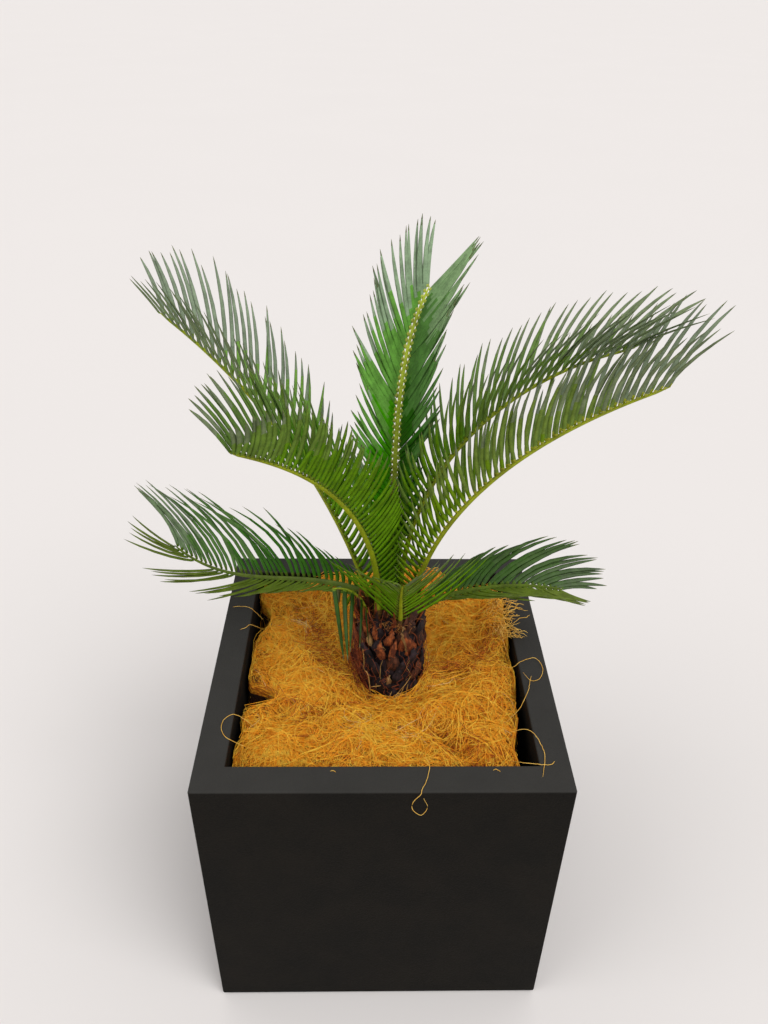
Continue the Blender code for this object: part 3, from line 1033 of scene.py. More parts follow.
    def build_strands(self) -> list[bpy.types.Object]:
        """Make the strands, some pieces for each tone, then the tuft and the loose ones.

        Returns:
            The pieces.
        """
        rng = np.random.default_rng(self.seed)
        paths = self.walk(rng)
        tone = self.tones(paths, rng)
        radius = rng.uniform(*self.radius, len(paths))
        pieces = []
        for number, fibre in enumerate(Fibre):
            name = f"fibre_{fibre.name.lower()}"
            material = StrandFinish(name, *fibre.value).make()
            chosen = np.flatnonzero(tone == number)
            lots = np.array_split(chosen, math.ceil(len(chosen) / self.batch))
            for lot, rows in enumerate(lots, 1):
                mesh = loft(name, threads(paths[rows], radius[rows]))
                pieces.append(add_piece(mesh, f"{name}_{lot}", [material], "coconut_fibre"))
        material = StrandFinish("fibre_stray", (226, 168, 62), (252, 206, 104)).make()
        for name, stray, thick in (("fibre_spray", self.spray(rng), self.spray_radius),
                                   ("fibre_loose", self.loose(rng), self.loose_radius)):
            mesh = loft(name, threads(stray, np.full(len(stray), thick), sides=5))
            pieces.append(add_piece(mesh, name, [material], "coconut_fibre"))
        return pieces


@dataclass(frozen=True)
class Mark:
    """A leaf base that shows clearly: angle, share of the height, size and tone.

    The size is the length, half of the width and half of the depth.
    """

    angle: float
    share: float
    size: Triple
    tone: Brown


MARKS = (
    Mark(-105, 0.58, (0.032, 0.0044, 0.0042), Brown.ORANGE),
    Mark(-91, 0.56, (0.032, 0.0048, 0.0046), Brown.ORANGE),
    Mark(-98, 0.76, (0.026, 0.0046, 0.0044), Brown.ORANGE),
    Mark(-62, 0.66, (0.032, 0.0017, 0.0062), Brown.SCAR),
    Mark(-74, 0.84, (0.018, 0.0013, 0.0058), Brown.SCAR),
    Mark(-129, 0.70, (0.018, 0.0018, 0.0050), Brown.SCAR),
    Mark(-119, 0.80, (0.020, 0.0028, 0.0046), Brown.ORANGE),
    Mark(-153, 0.44, (0.028, 0.0046, 0.0044), Brown.RUST),
    Mark(-147, 0.68, (0.028, 0.0042, 0.0044), Brown.ORANGE),
    Mark(-168, 0.62, (0.028, 0.0050, 0.0044), Brown.RUST),
    Mark(-99, 0.17, (0.021, 0.0040, 0.0050), Brown.SCAR),
)
ROOTS = (
    ((-140, 0.78), (-132, 0.55), (-132, 0.43), (-124, 0.39), (-121, 0.19), (-120, -0.05)),
    ((-59, 0.38), (-68, 0.28), (-77, 0.19), (-83, 0.10), (-81, -0.03)),
    ((-70, 0.26), (-75, 0.15), (-88, 0.08), (-97, -0.04)),
    ((-64, 0.27), (-66, 0.12), (-67, -0.05)),
    ((-88, 0.20), (-94, 0.06), (-104, -0.01), (-114, -0.05)),
    ((-119, 0.22), (-112, 0.25), (-104, 0.28)),
)


@dataclass
class Scales:
    """Wedge-like scales around the stem's axis, one row of each array for each scale.

    The size is the length, half of the width and half of the depth.
    """

    angle: np.ndarray
    away: np.ndarray
    height: np.ndarray
    lean: np.ndarray
    skew: np.ndarray
    size: np.ndarray

    def rings(self, outline: Sequence[Sequence[float]], ragged: float,
              rng: np.random.Generator) -> np.ndarray:
        """Shape the scales, every one with the same outline.

        Args:
            outline: Rows of share of length, width share, depth share and outward bow.
            ragged: Size of the random shifts of the points.
            rng: Source of the random draws.

        Returns:
            Rings as loft takes them.
        """
        level = np.zeros(len(self.angle))
        out = np.column_stack((np.cos(self.angle), np.sin(self.angle), level))
        across = np.column_stack((-np.sin(self.angle), np.cos(self.angle), level))
        base = around(self.away, self.angle, self.height)
        lean = self.lean[:, None]
        aim = unit(UP * np.cos(lean) + out * np.sin(lean) + across * self.skew[:, None])
        across = squared(across, aim)
        out = unit(np.cross(across, aim))
        rows = np.array(outline)
        turn = np.arange(6) * math.pi / 3
        section = np.column_stack((np.cos(turn), np.sin(turn)))
        length, half_width, half_depth = (self.size[:, i, None] for i in range(3))
        centre = (base[:, None] + aim[:, None] * (rows[:, 0] * length)[:, :, None]
                  + out[:, None] * (rows[:, 3] * length)[:, :, None])
        wide = (rows[:, 1] * half_width)[:, :, None, None] * section[:, :1]
        deep = (rows[:, 2] * half_depth)[:, :, None, None] * section[:, 1:]
        rings = centre[:, :, None] + across[:, None, None] * wide + out[:, None, None] * deep
        return rings + rng.normal(0, ragged, rings.shape)


@dataclass
class Stem:
    """The stout stem: a column clad in dry leaf bases, with roots and hair on it."""

    foot_radius: float = 0.0345
    widest_radius: float = 0.0368
    top_radius: float = 0.0300
    widest_at: float = 0.35
    core_inset: float = 0.0045
    core_cells: tuple[int, int] = (40, 28)
    core_rough: tuple[Pair, Pair] = ((0.0030, 4), (0.0014, 12))
    scales: int = 74
    scale_sunk: float = 0.0006
    scale_sizes: tuple[Pair, ...] = ((0.019, 0.027), (0.0066, 0.0094), (0.0026, 0.0042))
    scale_ragged: float = 0.0008
    strands: int = 60
    strand_radius: Pair = (0.00018, 0.00034)
    hairs: int = 130
    hair_radius: Pair = (0.00012, 0.00022)
    points: int = 12
    hang_sway: float = 0.055
    flare_from: float = 0.06
    flare: float = 0.09
    root_off: float = 0.0036
    root_radius: float = 0.00046
    crown_scales: tuple[int, int] = (46, 20)
    crown_sizes: tuple[Pair, ...] = ((0.020, 0.034), (0.0030, 0.0048), (0.0010, 0.0016))
    crown_ragged: float = 0.00018
    slim_scales: Triple = (1.35, 0.38, 0.75)
    wool_hairs: int = 620
    wool_points: int = 7
    wool_ring: float = 0.031
    wool_length: Pair = (0.007, 0.018)
    wool_radius: Pair = (0.00014, 0.00024)
    wool_curl: float = 0.0007
    bud_place: Triple = (0.0165, 0.0040, 0.410)
    bud_radius: float = 0.0045
    bud_hairs: int = 80
    bud_length: float = 0.020
    seed: int = 23
    tree: BVHTree | None = field(default=None, repr=False)

    def radius(self, share: float | np.ndarray) -> np.ndarray:
        """Radius at a share of the height."""
        share = np.clip(share, 0, 1)
        low = share < self.widest_at
        end = np.where(low, self.foot_radius, self.top_radius)
        part = np.where(low, share / self.widest_at, (1 - share) / (1 - self.widest_at))
        return end + (self.widest_radius - end) * np.sin(math.pi / 2 * part)

    def build_core(self, finish: BarkFinish) -> bpy.types.Object:
        """Make the column under the leaf bases in its finish."""
        bm = unit_tube(*self.core_cells)

        def place(share: float, angle: float) -> Vector:
            """Point of the column at a share of its height and an angle."""
            spot = Vector((math.cos(angle), math.sin(angle), share * 3))
            rough = sum(size * noise.noise(spot * often) for size, often in self.core_rough)
            radius = float(self.radius(share)) - self.core_inset + rough
            return Vector((STEM_AXIS[0] + radius * spot.x, STEM_AXIS[1] + radius * spot.y,
                           between((STEM_FOOT, STEM_TOP), share)))

        shape_tube(bm, place)
        piece = add_piece(bm, "stem_core", [finish.make()], "stem_scales", "stem")
        self.tree = search_tree(piece)
        return piece

    def build_scales(self, finishes: Sequence[BarkFinish]) -> bpy.types.Object:
        """Make the leaf bases, set in a spiral from foot to crown.

        Args:
            finishes: Their finishes in the order of Brown.

        Returns:
            The piece.
        """
        rng = np.random.default_rng(self.seed)
        index = np.arange(self.scales)
        share = (index + 0.5) / self.scales * 1.02 - 0.06
        angle = index * GOLDEN_ANGLE + rng.normal(0, 0.16, self.scales)
        size = np.column_stack([rng.uniform(*pair, self.scales) for pair in self.scale_sizes])
        tone = self.bark_tones(angle, share, rng)
        share = np.append(share, [mark.share for mark in MARKS])
        angle = np.append(angle, np.radians([mark.angle for mark in MARKS]))
        size = np.vstack((size, [mark.size for mark in MARKS]))
        tone = np.append(tone, [number_of(mark.tone) for mark in MARKS])
        count = len(share)
        outward = 14 * np.clip(share - 0.7, 0, 1)
        scales = Scales(angle, away=self.radius(share) - self.core_inset - self.scale_sunk,
                        height=between((STEM_FOOT, STEM_TOP), share),
                        lean=np.radians(rng.normal(11, 6, count) + outward),
                        skew=rng.normal(0, 0.18, count), size=size)
        outline = ((0.0, 0.55, 0.6, -0.04), (0.18, 0.95, 1.0, 0.0), (0.42, 1.0, 0.95, 0.03),
                   (0.68, 0.80, 0.75, 0.02), (0.88, 0.48, 0.5, -0.01), (1.0, 0.20, 0.25, -0.05))
        mesh = loft("stem_leaf_bases", scales.rings(outline, self.scale_ragged, rng), tone)
        materials = [finish.make() for finish in finishes]
        return add_piece(mesh, "stem_leaf_bases", materials, "stem_scales")

    @staticmethod
    def bark_tones(angle: np.ndarray, share: np.ndarray, rng: np.random.Generator) -> np.ndarray:
        """Number of each leaf base's tone: redder near the crown and on the left side.

        Args:
            angle: Angle of each around the stem.
            share: Share of the height of each.
            rng: Source of the random draws.

        Returns:
            One number for each, in the order of Brown.
        """
        left = np.clip(-np.cos(angle), 0, 1) ** 2
        warm = 0.14 + 0.60 * np.clip((share - 0.42) / 0.3, 0, 1) + 0.40 * left
        draw = rng.random(len(share))
        tone = np.where(draw < warm, number_of(Brown.UMBER), number_of(Brown.BLACK))
        return np.where(draw < 0.4 * warm, number_of(Brown.RUST), tone)

    def on_bark(self, turn: np.ndarray, share: np.ndarray, off: np.ndarray | float) -> np.ndarray:
        """Points beside the bark, pushed outwards at the foot.

        Args:
            turn: Angles.
            share: Shares of the height.
            off: Distances from the bark.

        Returns:
            Points by path and place.
        """
        radius = self.radius(share) + off + np.clip(self.flare_from - share, 0, 1) * self.flare
        height = np.maximum(between((STEM_FOOT, STEM_TOP), share), STEM_FOOT - 0.001)
        return around(radius, turn, height)

    def hanging(self, rng: np.random.Generator, angle: np.ndarray, top: Pair, fall: Pair,
                off: Pair) -> np.ndarray:
        """Paths of fibres that hang down the stem.

        Args:
            rng: Source of the random draws.
            angle: Angle of each.
            top: Range of the share of the height where they start.
            fall: Range of the share of the height over which they hang.
            off: Mean and spread of their distance from the bark.

        Returns:
            Points by fibre and place.
        """
        count = len(angle)
        steps = np.linspace(0, 1, self.points)
        drop = rng.uniform(*fall, count)[:, None] * steps
        share = np.maximum(rng.uniform(*top, count)[:, None] - drop, -0.08)
        sways = rng.normal(0, self.hang_sway, (count, self.points))
        turn = angle[:, None] + np.cumsum(sways, axis=1)
        loose = abs(rng.normal(*off, count))[:, None] * (0.6 + np.sin(steps * math.pi))
        return self.on_bark(turn, share, loose)

    def build_fibres(self) -> bpy.types.Object:
        """Make the thin roots and old fibres of the stem, and the hair down its left side.

        Returns:
            The piece.
        """
        rng = np.random.default_rng(self.seed + 1)
        strands = self.hanging(rng, rng.uniform(0, math.tau, self.strands), top=(0.25, 1.02),
                               fall=(0.15, 0.60), off=(0.0022, 0.0014))
        hairs = self.hanging(rng, np.radians(rng.uniform(-176, -130, self.hairs)),
                             top=(0.10, 0.85), fall=(0.15, 0.50), off=(0.0030, 0.0016))
        lines = np.array([through_points(np.array(knots), self.points) for knots in ROOTS])
        roots = self.on_bark(np.radians(lines[:, :, 0]), lines[:, :, 1], self.root_off)
        paths = np.concatenate((strands, hairs, roots))
        thick = np.concatenate((rng.uniform(*self.strand_radius, self.strands),
                                rng.uniform(*self.hair_radius, self.hairs),
                                np.full(len(roots), self.root_radius)))
        tone = np.concatenate((rng.choice(2, self.strands, p=(0.35, 0.65)),
                               np.ones(self.hairs, int), np.zeros(len(roots), int)))
        mesh = loft("stem_fibres", threads(paths, thick, sides=4), tone)
        tones = (StrandFinish("root_tan", (150, 112, 56), (208, 166, 92)),
                 StrandFinish("root_rust", (104, 40, 18), (164, 80, 36)))
        return add_piece(mesh, "stem_fibres", [t.make() for t in tones], "stem_scales")

    def build_crown(self, finishes: Sequence[BarkFinish]) -> list[bpy.types.Object]:
        """Make the pointed brown scales and the woolly hair around the fronds' feet.

        Args:
            finishes: Finishes of the scales in the order of Brown.

        Returns:
            The pieces.
        """
        rng = np.random.default_rng(self.seed + 2)
        inner, outer = self.crown_scales
        count = inner + outer
        angle = np.arange(inner) * GOLDEN_ANGLE + rng.normal(0, 0.15, inner)
        angle = np.append(angle, np.radians(rng.uniform(-178, -112, outer)))
        ring = between((0.0305, 0.0100), (np.arange(inner) / inner) ** 0.8)
        ring = np.append(ring, rng.uniform(0.024, 0.031, outer))
        scales = Scales(angle, away=ring,
                        height=STEM_TOP - 0.010 + rng.uniform(-0.004, 0.003, count),
                        lean=np.radians(rng.normal(20, 8, count)) * ring / 0.03,
                        skew=rng.normal(0, 0.12, count),
                        size=np.column_stack([rng.uniform(*pair, count)
                                              for pair in self.crown_sizes]))
        scales.size[inner:] *= self.slim_scales
        outline = ((0.0, 0.8, 1.0, 0.0), (0.25, 1.0, 1.0, 0.02), (0.50, 0.75, 0.8, 0.03),
                   (0.75, 0.42, 0.5, 0.02), (1.0, 0.06, 0.1, -0.02))
        rings = scales.rings(outline, self.crown_ragged, rng)
        tone = rng.choice(3, count, p=(0.10, 0.35, 0.55))
        tone[inner:] = number_of(Brown.RUST)
        materials = [finish.make() for finish in finishes]
        piece = add_piece(loft("crown_scales", rings, tone), "crown_scales", materials,
                          "stem_scales")
        return [piece, self.build_wool(rng)]

    def build_wool(self, rng: np.random.Generator) -> bpy.types.Object:
        """Make the woolly hair of the crown, redder on the left, with a yellow tuft at its heart.

        Args:
            rng: Source of the random draws.

        Returns:
            The piece.
        """
        count = self.wool_hairs
        total = count + self.bud_hairs
        angle = rng.uniform(0, math.tau, total)
        left = np.clip(-np.cos(angle), 0, 1)
        ring = self.wool_ring * np.sqrt(rng.uniform(0, 1, total))
        spot = around(ring, angle, STEM_TOP + rng.uniform(-0.006, 0.002, total))
        lean = rng.normal(0, 0.5, (total, 2)) + np.column_stack((np.cos(angle), np.sin(angle)))
        lean *= 0.2 + ring[:, None] * 18
        length = rng.uniform(*self.wool_length, total) * (1 + 0.7 * left)
        spot[count:] = self.bud_place + rng.normal(0, self.bud_radius, (self.bud_hairs, 3))
        lean[count:] *= 0.25
        length[count:] = self.bud_length
        aim = unit(np.column_stack((lean, np.ones(total))))
        steps = np.linspace(0, 1, self.wool_points)
        paths = spot[:, None] + aim[:, None] * (length[:, None] * steps)[:, :, None]
        curl = np.cumsum(rng.normal(0, self.wool_curl, paths.shape), axis=1)
        droop = -UP * (0.35 * length[:, None] * steps ** 2)[:, :, None]
        tone = (rng.random(total) < between((0.35, 0.85), left)).astype(int)
        tone[count:] = 2
        rings = threads(paths + curl + droop, rng.uniform(*self.wool_radius, total))
        mesh = loft("crown_wool", rings, tone)
        tones = (StrandFinish("wool_tan", (164, 104, 46), (204, 146, 76)),
                 StrandFinish("wool_rust", (118, 52, 24), (176, 92, 46)),
                 StrandFinish("wool_yellow", (176, 132, 30), (224, 184, 66)))
        return add_piece(mesh, "crown_wool", [t.make() for t in tones], "stem_scales")


@dataclass(frozen=True)
class Frond:
    """One frond: lengths in metres, angles in degrees, pairs run from foot to tip.

    The sag is that of the left and of the right row, and gaps are in the left row.
    """

    name: str
    heading: float
    rise: Triple
    length: float
    leaf: float
    foot_radius: float = 0.018
    foot_heading: float | None = None
    sway: float = 0.0
    sway_power: float = 1.5
    roll: float = 0.0
    fold: Pair = (60.0, 50.0)
    splay: Pair = (51.0, 32.0)
    bare: float = 0.14
    share: Pair = (0.45, 0.50)
    longest: float = 0.40
    taper: float = 2.6
    skew: Pair = (0.0, 0.0)
    closing: Pair = (0.90, 0.25)
    curl: float = 0.12
    droop: float = 0.05
    left: Pair = (1.0, 1.0)
    right: Pair = (1.0, 1.0)
    stout: float = 1.0
    pitch: float = 0.0070
    width: float = 0.0042
    bow: float = 0.20
    lift_left: Pair = (0.0, 0.0)
    lift_right: Pair = (0.0, 0.0)
    sag: Pair = (0.0, 0.0)
    gaps: tuple[Pair, ...] = ()
    wild: float = 1.5
    haze: float = 0.0
    tones: tuple[Green, Green] = (Green.MID, Green.MID)
    under: Under = Under.OLIVE
    foot: Foot = Foot.GREEN


FRONDS = (
    Frond("frond_back", 88, (86, 80, 62), 0.312, 0.093, sway=-27, sway_power=4.3,
          roll=-3, fold=(61, 50), splay=(46, 38), skew=(0, 1), share=(0.45, 0.55),
          longest=0.50, taper=4.0, left=(0.94, 1.0), right=(0.88, 1.04),
          closing=(0.80, 0.22), pitch=0.0056, width=0.0054, bow=0.05,
          tones=(Green.BRIGHT, Green.LEAFY), under=Under.PALE, foot=Foot.YELLOW),
    Frond("frond_upper_left", 165, (74, 57, 36), 0.348, 0.087, sway=2.5, fold=(60, 48),
          lift_left=(14, 14), splay=(50, 38), share=(0.42, 0.50), longest=0.72, taper=2.2,
          left=(0.95, 0.75), pitch=0.0074, width=0.0036, bow=0.10, haze=0.15,
          tones=(Green.FRESH, Green.FRESH)),
    Frond("frond_front_right", -20, (85, 53, 31), 0.352, 0.088, sway=-1, fold=(62, 56),
          splay=(50, 46), share=(0.42, 0.78), longest=0.60, taper=3.0, width=0.0036,
          bow=0.14, haze=0.10, tones=(Green.GOLDEN, Green.GOLDEN), under=Under.PALE,
          foot=Foot.STRAW),
    Frond("frond_front_left", 225, (96, 52, 34), 0.346, 0.083, sway=16, fold=(60, 60),
          splay=(52, 42), share=(0.44, 0.50), longest=0.60, taper=3.0, left=(0.95, 0.85),
          pitch=0.0062, width=0.0044, bow=0.16, haze=-0.20,
          tones=(Green.OLIVE, Green.OLIVE)),
    Frond("frond_upper_right", 3, (92, 60, 21), 0.366, 0.084, sway=-19, fold=(62, 52),
          splay=(50, 36), share=(0.42, 0.80), longest=0.60, taper=3.0, left=(0.76, 0.84),
          foot_radius=0.008, foot_heading=30, pitch=0.0070, width=0.0034, bow=0.12,
          tones=(Green.MID, Green.MID)),
    Frond("frond_low_left", 160, (14, -13, 33), 0.236, 0.112, foot_radius=0.026,
          foot_heading=146, sway=-6, roll=-28, fold=(62, 52), lift_left=(-50, -10),
          splay=(58, 44), skew=(-22, -6), bare=0.25, share=(0.60, 0.60), taper=3.0,
          closing=(0.50, 0.60), curl=0.30, left=(0.35, 0.66), right=(1.0, 0.84),
          gaps=((0.42, 0.55), (0.73, 0.82)), wild=2.5, pitch=0.0064, width=0.0046,
          bow=0.25, haze=0.05, tones=(Green.MOSSY, Green.DEEP), foot=Foot.DULL),
    Frond("frond_low_right", -5, (30, 13, -10), 0.148, 0.078, foot_radius=0.024,
          roll=8, fold=(45, 22), lift_right=(-14, -14), splay=(42, 22), bare=0.16,
          share=(0.45, 0.40), curl=0.25, droop=0.10, left=(1.0, 0.88), right=(0.60, 0.66),
          wild=2.5, pitch=0.0058, width=0.0048, bow=0.25,
          tones=(Green.SHADE, Green.MOSSY), foot=Foot.DULL),
    Frond("frond_small_front", 262, (80, 66, 50), 0.080, 0.080, foot_radius=0.026,
          foot_heading=290, sway=6, fold=(30, 30), lift_right=(-8, -8), splay=(52, 30),
          skew=(12, 6), bare=0.04, share=(1.0, 0.30), longest=0.10, taper=1.0, curl=0.20,
          left=(1.2, 1.1), right=(1.40, 1.2), sag=(0.0, 0.42), wild=2.0, stout=0.7,
          pitch=0.0050, width=0.0040, tones=(Green.SUNNY, Green.SUNNY)),
    Frond("frond_low_back", 100, (70, 30, 5), 0.150, 0.055, foot_radius=0.025,
          fold=(45, 35), splay=(50, 25), share=(0.50, 0.40), stout=0.8, pitch=0.0062,
          tones=(Green.DEEP, Green.DEEP)),
    Frond("frond_stunted", 195, (84, 52, -25), 0.060, 0.046, foot_radius=0.027,
          foot_heading=215, sway=-20, fold=(-20, -20), splay=(95, 80), bare=0.48,
          share=(0.90, 0.80), curl=-0.10, droop=0.80, wild=7.0, stout=0.6, pitch=0.0125,
          width=0.0046, bow=0.10, tones=(Green.DARK, Green.DARK)),
)


@dataclass
class FrondGrower:
    """Grows a frond: a grooved rib and two rows of narrow, stiff leaflets."""

    rib_width: Pair = (0.0062, 0.0022)
    rib_depth: Pair = (0.0050, 0.0018)
    rib_sides: int = 12
    rib_rings: int = 60
    rib_sunk: float = 0.007
    rib_foot: float = 0.016
    groove: float = 0.35
    swell: float = 0.55
    swell_run: float = 0.012
    tip_run: float = 0.03
    steps: int = 48
    stagger: float = 0.20
    attach: float = 0.86
    short: float = 0.05
    drift_splay: float = 2.5
    drift_fold: float = 4.0
    wild_splay: float = 0.9
    wild_fold: float = 1.2
    wild_curl: float = 0.010
    clearance: float = 0.0014
    reaches: tuple[float, ...] = (1.0, 0.85, 0.7, 0.55, 0.4, 0.28)
    probes: int = 9
    spine: float = 0.12
    far_place: float = 0.75
    far_band: float = 0.45
    far_steps: Pair = (0.45, 0.75)
    stations: tuple[float, ...] = (0.0, 0.05, 0.17, 0.38, 0.60, 0.80, 0.94, 1.0)
    widths: tuple[float, ...] = (0.64, 0.92, 1.0, 1.0, 0.92, 0.70, 0.34, 0.05)
    section: tuple[Pair, ...] = ((-0.50, -0.18), (0.0, -0.16), (0.50, -0.18), (0.28, 0.0),
                                 (0.0, -0.07), (-0.28, 0.0))
    seed: int = 41

    def frames(self, frond: Frond) -> tuple[np.ndarray, ...]:
        """Points, directions, left sides and upper normals along a rib.

        Args:
            frond: The frond.

        Returns:
            Four arrays with one row for each step.
        """
        share = np.linspace(0, 1, self.steps + 1)
        foot, middle, tip = frond.rise
        rise = np.radians(foot * (1 - share) * (1 - 2 * share) + middle * 4 * share * (1 - share)
                          + tip * share * (2 * share - 1))
        heading = math.radians(frond.heading)
        along = np.column_stack((np.cos(rise) * math.cos(heading),
                                 np.cos(rise) * math.sin(heading), np.sin(rise)))
        left = np.tile((-math.sin(heading), math.cos(heading), 0.0), (len(share), 1))
        over = np.cross(along, left)
        sway = np.radians(frond.sway * share ** frond.sway_power)[:, None]
        along, left = turned(along, left, sway)
        left, over = turned(left, over, math.radians(frond.roll))
        start = heading if frond.foot_heading is None else math.radians(frond.foot_heading)
        spot = np.array((STEM_AXIS[0] + math.cos(start) * frond.foot_radius,
                         STEM_AXIS[1] + math.sin(start) * frond.foot_radius, STEM_TOP))
        runs = (along[1:] + along[:-1]) * (frond.length / self.steps / 2)
        points = spot + np.vstack((np.zeros(3), np.cumsum(runs, axis=0)))
        half = frond.stout * self.rib_width[0] / 2
        depth = frond.stout * self.rib_depth[0]
        corners = [left[0, 2] * half * side - over[0, 2] * drop
                   for side in (-1, 1) for drop in (0, depth)]
        corners += [-over[0, 2] * (half * self.groove + drop) for drop in (0, depth)]
        points[:, 2] += GAP - min(corners)
        return points, along, left, over

    @staticmethod
    def at(rows: np.ndarray, share: np.ndarray) -> np.ndarray:
        """Rows of an array at some shares of its length, drawn on straight below 0."""
        place = np.minimum(share, 1.0) * (len(rows) - 1)
        index = np.clip(place.astype(int), 0, len(rows) - 2)
        rest = (place - index)[:, None]
        return rows[index] * (1 - rest) + rows[index + 1] * rest

    def build_rib(self, frond: Frond, frames: tuple[np.ndarray, ...],
                  materials: Sequence[bpy.types.Material]) -> bpy.types.Object:
        """Make the rib, grooved above and round below, with a wide brown foot.

        Args:
            frond: The frond.
            frames: Its frames.
            materials: Finishes of blade and foot.

        Returns:
            The piece.
        """
        rings = self.rib_rings
        sunk = -self.rib_sunk / frond.length
        bm = unit_tube(self.rib_sides, rings)
        share = between((sunk, 1.0), np.linspace(0, 1, rings + 1))
        points, along, left, over = (self.at(rows, share) for rows in frames)

        def place(part: float, angle: float) -> Vector:
            """Point of the rib at a share of its length and an angle."""
            row = min(rings, max(0, round(part * rings)))
            above = max(0.0, share[row])
            swell = 1 + self.swell * math.exp(-above * frond.length / self.swell_run)
            half = frond.stout * between(self.rib_width, above) / 2 * swell
            depth = frond.stout * between(self.rib_depth, above) * swell
            fade = 1 - 0.75 * max(0.0, share[row] - (1 - self.tip_run)) / self.tip_run
            c, s = math.cos(angle), math.sin(angle)
            if s > 1e-6:
                height = -half * self.groove * (1 - abs(c))
            else:
                height = -depth * abs(s)
            return Vector(points[row] + (left[row] * half * c + over[row] * height) * fade)

        shape_tube(bm, place)
        brown = points[0] + along[0] * self.rib_foot
        for face in bm.faces:
            middle = np.array(face.calc_center_median())
            face.material_index = int((middle - brown) @ along[0] < 0)
        name = frond.name.replace("frond", "rib")
        return add_piece(bm, name, materials, "frond_green")

    def rows(self, frond: Frond, rng: np.random.Generator) -> tuple[np.ndarray, ...]:
        """Where the leaflets of a frond stand and how long they are.

        Args:
            frond: The frond.
            rng: Source of the random draws.

        Returns:
            Share of the rib, place in the row, side and length of each leaflet.
        """
        leafy = frond.length * (1 - frond.bare)
        pairs = max(3, round(leafy / frond.pitch))
        early = max(0, int(frond.bare / (1 - frond.bare) * pairs - 0.6))
        place = np.repeat((np.arange(-early, pairs) + 0.5) / pairs, 2)
        count = len(place)
        side = np.tile((1.0, -1.0), count // 2)
        shift = side * self.stagger + rng.normal(0, 0.05, count)
        place = np.minimum(place + shift / pairs, 1)
        first, last = frond.share
        leafy_place = np.maximum(place, 0)
        rising = np.sin(math.pi / 2 * np.minimum(leafy_place / frond.longest, 1))
        rest = np.clip((place - frond.longest) / (1 - frond.longest), 0, 1)
        part = np.where(place < frond.longest, between((first, 1), rising),
                        1 - (1 - last) * rest ** frond.taper)
        share = between((frond.bare, 1), place)
        spines = between((self.spine, first), np.clip(share / frond.bare, 0, 1))
        part = np.where(place < 0, spines, part)
        row = self.by_row(side, frond.left, frond.right, leafy_place)
        return share, place, side, frond.leaf * part * row * rng.normal(1, 0.030, count)

    @staticmethod
    def by_row(side: np.ndarray, left: Pair, right: Pair, place: np.ndarray) -> np.ndarray:
        """The value at each leaflet's place, from one pair for each row."""
        return np.where(side > 0, between(left, place), between(right, place))

    def grow(self, frond: Frond, frames: tuple[np.ndarray, ...], obstacles: list[BVHTree],
             materials: Sequence[bpy.types.Material]) -> bpy.types.Object:
        """Make the leaflets of a frond.

        Args:
            frond: The frond.
            frames: Its frames.
            obstacles: Search trees of what the leaflets keep clear of.
            materials: Levels of left row, right row and underside, then foot and tip.

        Returns:
            The piece.
        """
        rng = np.random.default_rng([self.seed, *frond.name.encode()])
        share, place, side, length = self.rows(frond, rng)
        points, along, left, over = (self.at(rows, share) for rows in frames)
        count = len(share)
        start, closing = frond.closing
        close = 1 - closing * np.clip((place - start) / (1 - start), 0, 1) ** 1.5
        drift = self.drift(place, side, frond)
        splay = between(frond.splay, np.maximum(place, -0.1)) * close + drift * self.drift_splay
        splay = splay + side * between(frond.skew, np.maximum(place, 0))
        splay = np.radians(splay + rng.normal(0, self.wild_splay * frond.wild, count))[:, None]
        lift = self.by_row(side, frond.lift_left, frond.lift_right, place)
        fold = between(frond.fold, place) + lift + drift[::-1] * self.drift_fold
        fold = np.radians(fold + rng.normal(0, self.wild_fold * frond.wild, count))[:, None]
        out = left * (side[:, None] * np.cos(fold)) + over * np.sin(fold)
        aim = along * np.cos(splay) + out * np.sin(splay)
        half = frond.stout * between(self.rib_width, share) / 2
        foot = points + left * (side * half * self.attach)[:, None]
        across = squared(along, aim)
        face = np.cross(across, aim) * side[:, None]
        across = across * side[:, None]
        curl = along * frond.curl * (1 + rng.normal(0, 0.15, count))[:, None]
        curl = curl - UP * (frond.droop + np.where(side > 0, *frond.sag))[:, None]
        curl = curl + rng.normal(0, self.wild_curl * frond.wild, (count, 3))
        bow = across * (-side * frond.bow * (1 + rng.normal(0, 0.2, count)))[:, None]

        def line(reach: np.ndarray, parts: np.ndarray) -> np.ndarray:
            """Points of every leaflet at some parts of its reach."""
            run = reach[:, None] * parts
            near = (run * length[:, None])[:, :, None]
            bend = (run * run * length[:, None])[:, :, None]
            arch = (run * (1 - run) * length[:, None])[:, :, None]
            return (foot[:, None] + aim[:, None] * near + curl[:, None] * bend
                    + bow[:, None] * arch)

        reach = self.free_reach(line, across * frond.width / 2, count, obstacles)
        kept = reach > 0
        for low, high in frond.gaps:
            kept &= ~((side > 0) & (place > low) & (place < high))
        centre = line(reach, np.array(self.stations))
        width = frond.width * (0.75 + 0.25 * np.minimum(1, length / self.short))
        size = (width[:, None] * self.widths)[:, :, None, None]
        shape = np.array(self.section)
        rings = (centre[:, :, None] + across[:, None, None] * shape[:, :1] * size
                 + face[:, None, None] * shape[:, 1:] * size)
        slots = self.slots(frond, place, side, rng)
        mesh = loft(frond.name, rings[kept], slots[kept])
        name = frond.name.replace("frond", "leaflets")
        return add_piece(mesh, name, materials, "frond_green", frond.name)

